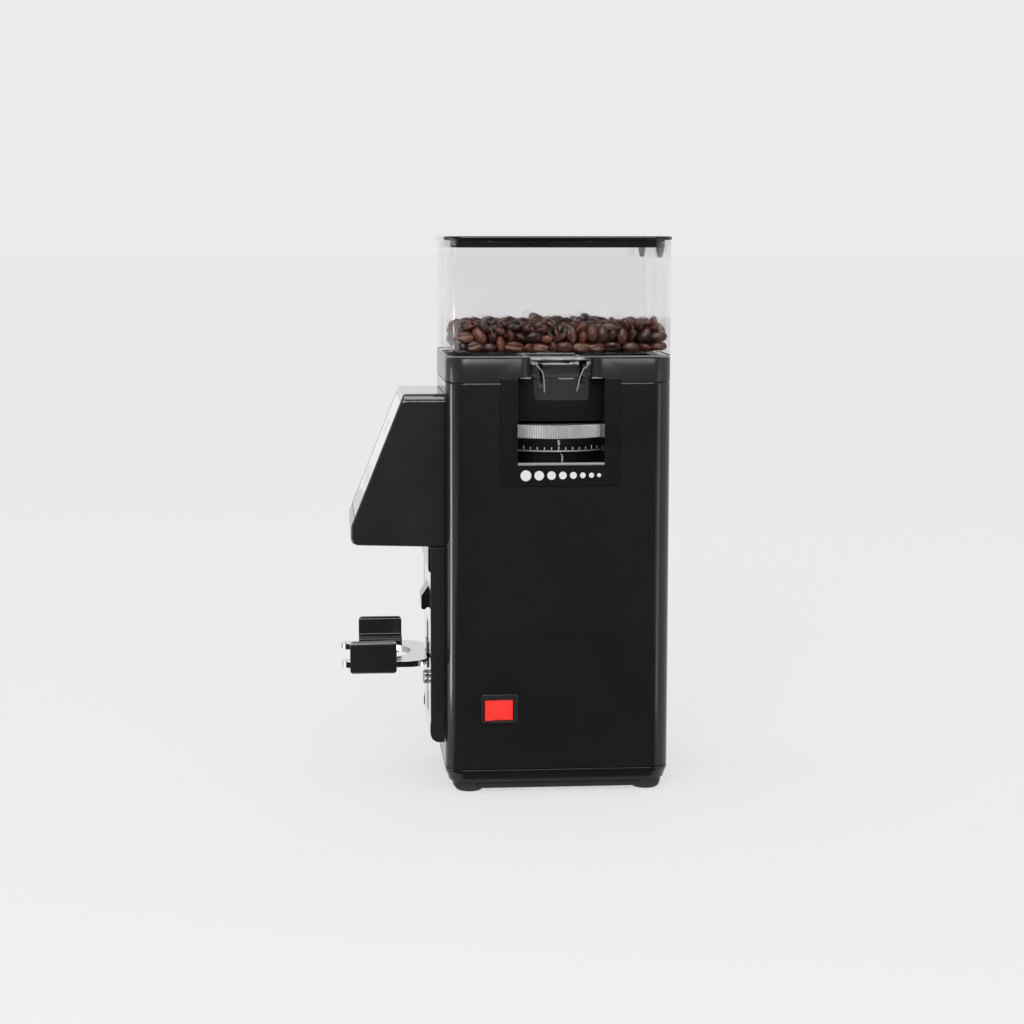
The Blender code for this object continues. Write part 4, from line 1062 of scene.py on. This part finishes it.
inlet = combine(
    extrude(rounded([(-16, 32.5), (16, 32.5), (16, 57.5), (-16, 57.5)], 2.5, 6), DEPTH + 0.3, DEPTH + 1.7, "Y"),
    add(box(-14, 14, DEPTH - 17.5, DEPTH + 0.7, 34, 56)),
    cut(extrude(rounded([(-12, 38), (12, 38), (12, 48.5), (8.5, 52), (-8.5, 52), (-12, 48.5)], 1.2, 4), DEPTH - 14.5, DEPTH + 3.5, "Y")),
)
piece("inlet_fine", inlet, M_BLACK, "base", ["power_inlet"], bevel=0.35, segments=3, angle=40)
for k, (x0, x1, z0, z1) in enumerate(((-7.9, -6.1, 42, 46), (6.1, 7.9, 42, 46), (-0.9, 0.9, 46, 50))):
    piece("inlet_pin_%d" % (k + 1), box(x0, x1, DEPTH - 15.0, DEPTH - 4.1, z0, z1), M_CHROME, "base", bevel=0.3, segments=2)

# ------------------------------------------------------- stage, light, camera
def stage_material(name, colour, glow):
    m, t, p = fresh_material(name)
    t.links.new(ramp(t, noise(t, 3.0, 2.0), [(0.3, tuple(c * 0.997 for c in colour)), (0.7, colour)]), p.inputs["Base Color"])
    p.inputs["Roughness"].default_value = 0.9
    p.inputs["Specular IOR Level"].default_value = 0.0
    p.inputs["Emission Color"].default_value = (1, 1, 1, 1)
    p.inputs["Emission Strength"].default_value = glow
    return m


LEVEL = 0.83
floor_bm = bmesh.new()
bmesh.ops.create_circle(floor_bm, cap_ends=True, segments=96, radius=60.0)
floor = as_object(floor_bm, "floor")
floor.location.z = -0.0002
floor.data.materials.append(stage_material("pale_floor", (0.26, 0.26, 0.26), LEVEL * 0.72))

world = bpy.data.worlds.new("studio")
world.use_nodes = True
world.node_tree.nodes["Background"].inputs["Color"].default_value = (1.0, 1.0, 1.0, 1.0)
world.node_tree.nodes["Background"].inputs["Strength"].default_value = LEVEL
bpy.context.scene.world = world


def softbox(name, at, look, size, strength, glossy_only=True):
    data = bpy.data.lights.new(name, "AREA")
    data.shape = "RECTANGLE"
    data.size, data.size_y = size
    data.energy = strength
    obj = bpy.data.objects.new(name, data)
    bpy.context.scene.collection.objects.link(obj)
    obj.location = at
    obj.rotation_euler = (Vector(look) - Vector(at)).to_track_quat("-Z", "Y").to_euler()
    obj.visible_camera = False
    if glossy_only:
        obj.visible_diffuse = False
        obj.visible_transmission = False
    return obj


softbox("top_box", (0.55, 0.0, 1.9), (0.0, 0.0, 0.25), (0.9, 1.5), 34.0)
softbox("line_box", (1.75, 0.1, 0.80), (0.0, 0.1, 0.25), (1.5, 0.20), 14.0)
softbox("key_box", (1.7, -0.5, 1.1), (0.0, 0.0, 0.25), (0.9, 0.9), 14.0, glossy_only=False)


def card(name, corners, tone, glow=0.0):
    """A studio card that only reflections see."""
    bm = bmesh.new()
    rows = [[bm.verts.new(p) for p in row] for row in corners]
    for low_row, high_row in zip(rows, rows[1:]):
        for i in range(len(low_row) - 1):
            bm.faces.new((low_row[i], low_row[i + 1], high_row[i + 1], high_row[i]))
    obj = as_object(bm, name)
    m, t, p = fresh_material(name + "_cloth")
    t.links.new(ramp(t, noise(t, 5.0, 2.0), [(0.3, (tone * 0.97,) * 3), (0.7, (tone,) * 3)]), p.inputs["Base Color"])
    p.inputs["Roughness"].default_value = 1.0
    p.inputs["Specular IOR Level"].default_value = 0.0
    p.inputs["Emission Color"].default_value = (1, 1, 1, 1)
    p.inputs["Emission Strength"].default_value = glow
    obj.data.materials.append(m)
    obj.visible_camera = False
    obj.visible_diffuse = False
    obj.visible_shadow = False
    obj.visible_transmission = False
    return obj


def fan(radius, a0, a1, z, n=24):
    return [(radius * cos(radians(a0 + (a1 - a0) * k / n)), radius * sin(radians(a0 + (a1 - a0) * k / n)), z) for k in range(n + 1)]


# dark cloth round the +X side and on the floor before it, so the side stays black
card("dark_wall", [fan(2.6, -66, 46, 0.0), fan(2.6, -66, 46, 2.0)], 0.012)
card("dark_floor", [[(0.064, -0.10, 0.0010), (0.064, -0.03, 0.0010), (0.064, 0.04, 0.0010), (0.064, 0.11, 0.0010)],
                    [(0.30, -0.60, 0.0010), (0.30, -0.15, 0.0010), (0.30, 0.15, 0.0010), (0.30, 0.32, 0.0010)],
                    [(2.58, -2.4, 0.0010), (2.58, -0.8, 0.0010), (2.58, 0.8, 0.0010), (2.58, 1.8, 0.0010)]], 0.012)
# a pale wall on the far side, mirrored by the faces that the camera only grazes
card("pale_wall", [fan(2.6, 140, 222, 0.0), fan(2.6, 140, 222, 1.6)], 0.5, 0.62)
# the light strips that draw the upright highlights down the rounded corners
card("front_strip", [[(-0.17, -1.5, 0.0), (0.07, -1.5, 0.0)], [(-0.17, -1.5, 0.27), (0.07, -1.5, 0.27)]], 0.5, 11.0)
card("front_strip_foot", [[(-0.02, -0.30, 0.0012), (0.055, -0.30, 0.0012)], [(-0.17, -1.5, 0.0012), (0.07, -1.5, 0.0012)]], 0.5, 11.0)
card("rear_strip", [[(0.80, 1.18, 0.0), (0.96, 1.08, 0.0)], [(0.80, 1.18, 0.5), (0.96, 1.08, 0.5)]], 0.5, 2.6)
card("rear_strip_foot", [[(0.17, 0.28, 0.0012), (0.21, 0.25, 0.0012)], [(0.80, 1.18, 0.0012), (0.96, 1.08, 0.0012)]], 0.5, 2.6)

cam_data = bpy.data.cameras.new("camera")
cam_data.lens = 70.6
cam_data.sensor_width = 36.0
SHIFT = (0.04, -0.065)
cam_data.shift_x, cam_data.shift_y = SHIFT
cam_data.clip_start, cam_data.clip_end = 0.05, 200.0
camera = bpy.data.objects.new("camera", cam_data)
bpy.context.scene.collection.objects.link(camera)
camera.location = P(1352.0, -79.07, 362.4)
axis_px = (512 - SHIFT[0] * 1024, 512 + SHIFT[1] * 1024)
look = Vector((-1.0, (axis_px[0] - 327.0) / 1957.0, -(axis_px[1] - 247.0) / 1957.0))
camera.rotation_euler = look.to_track_quat("-Z", "Y").to_euler()
bpy.context.scene.camera = camera

bpy.context.scene.view_settings.view_transform = "Standard"
bpy.context.scene.view_settings.look = "None"
bpy.context.scene.view_settings.exposure = 0.0
bpy.context.scene.view_settings.gamma = 1.0

bpy.context.view_layer.update()
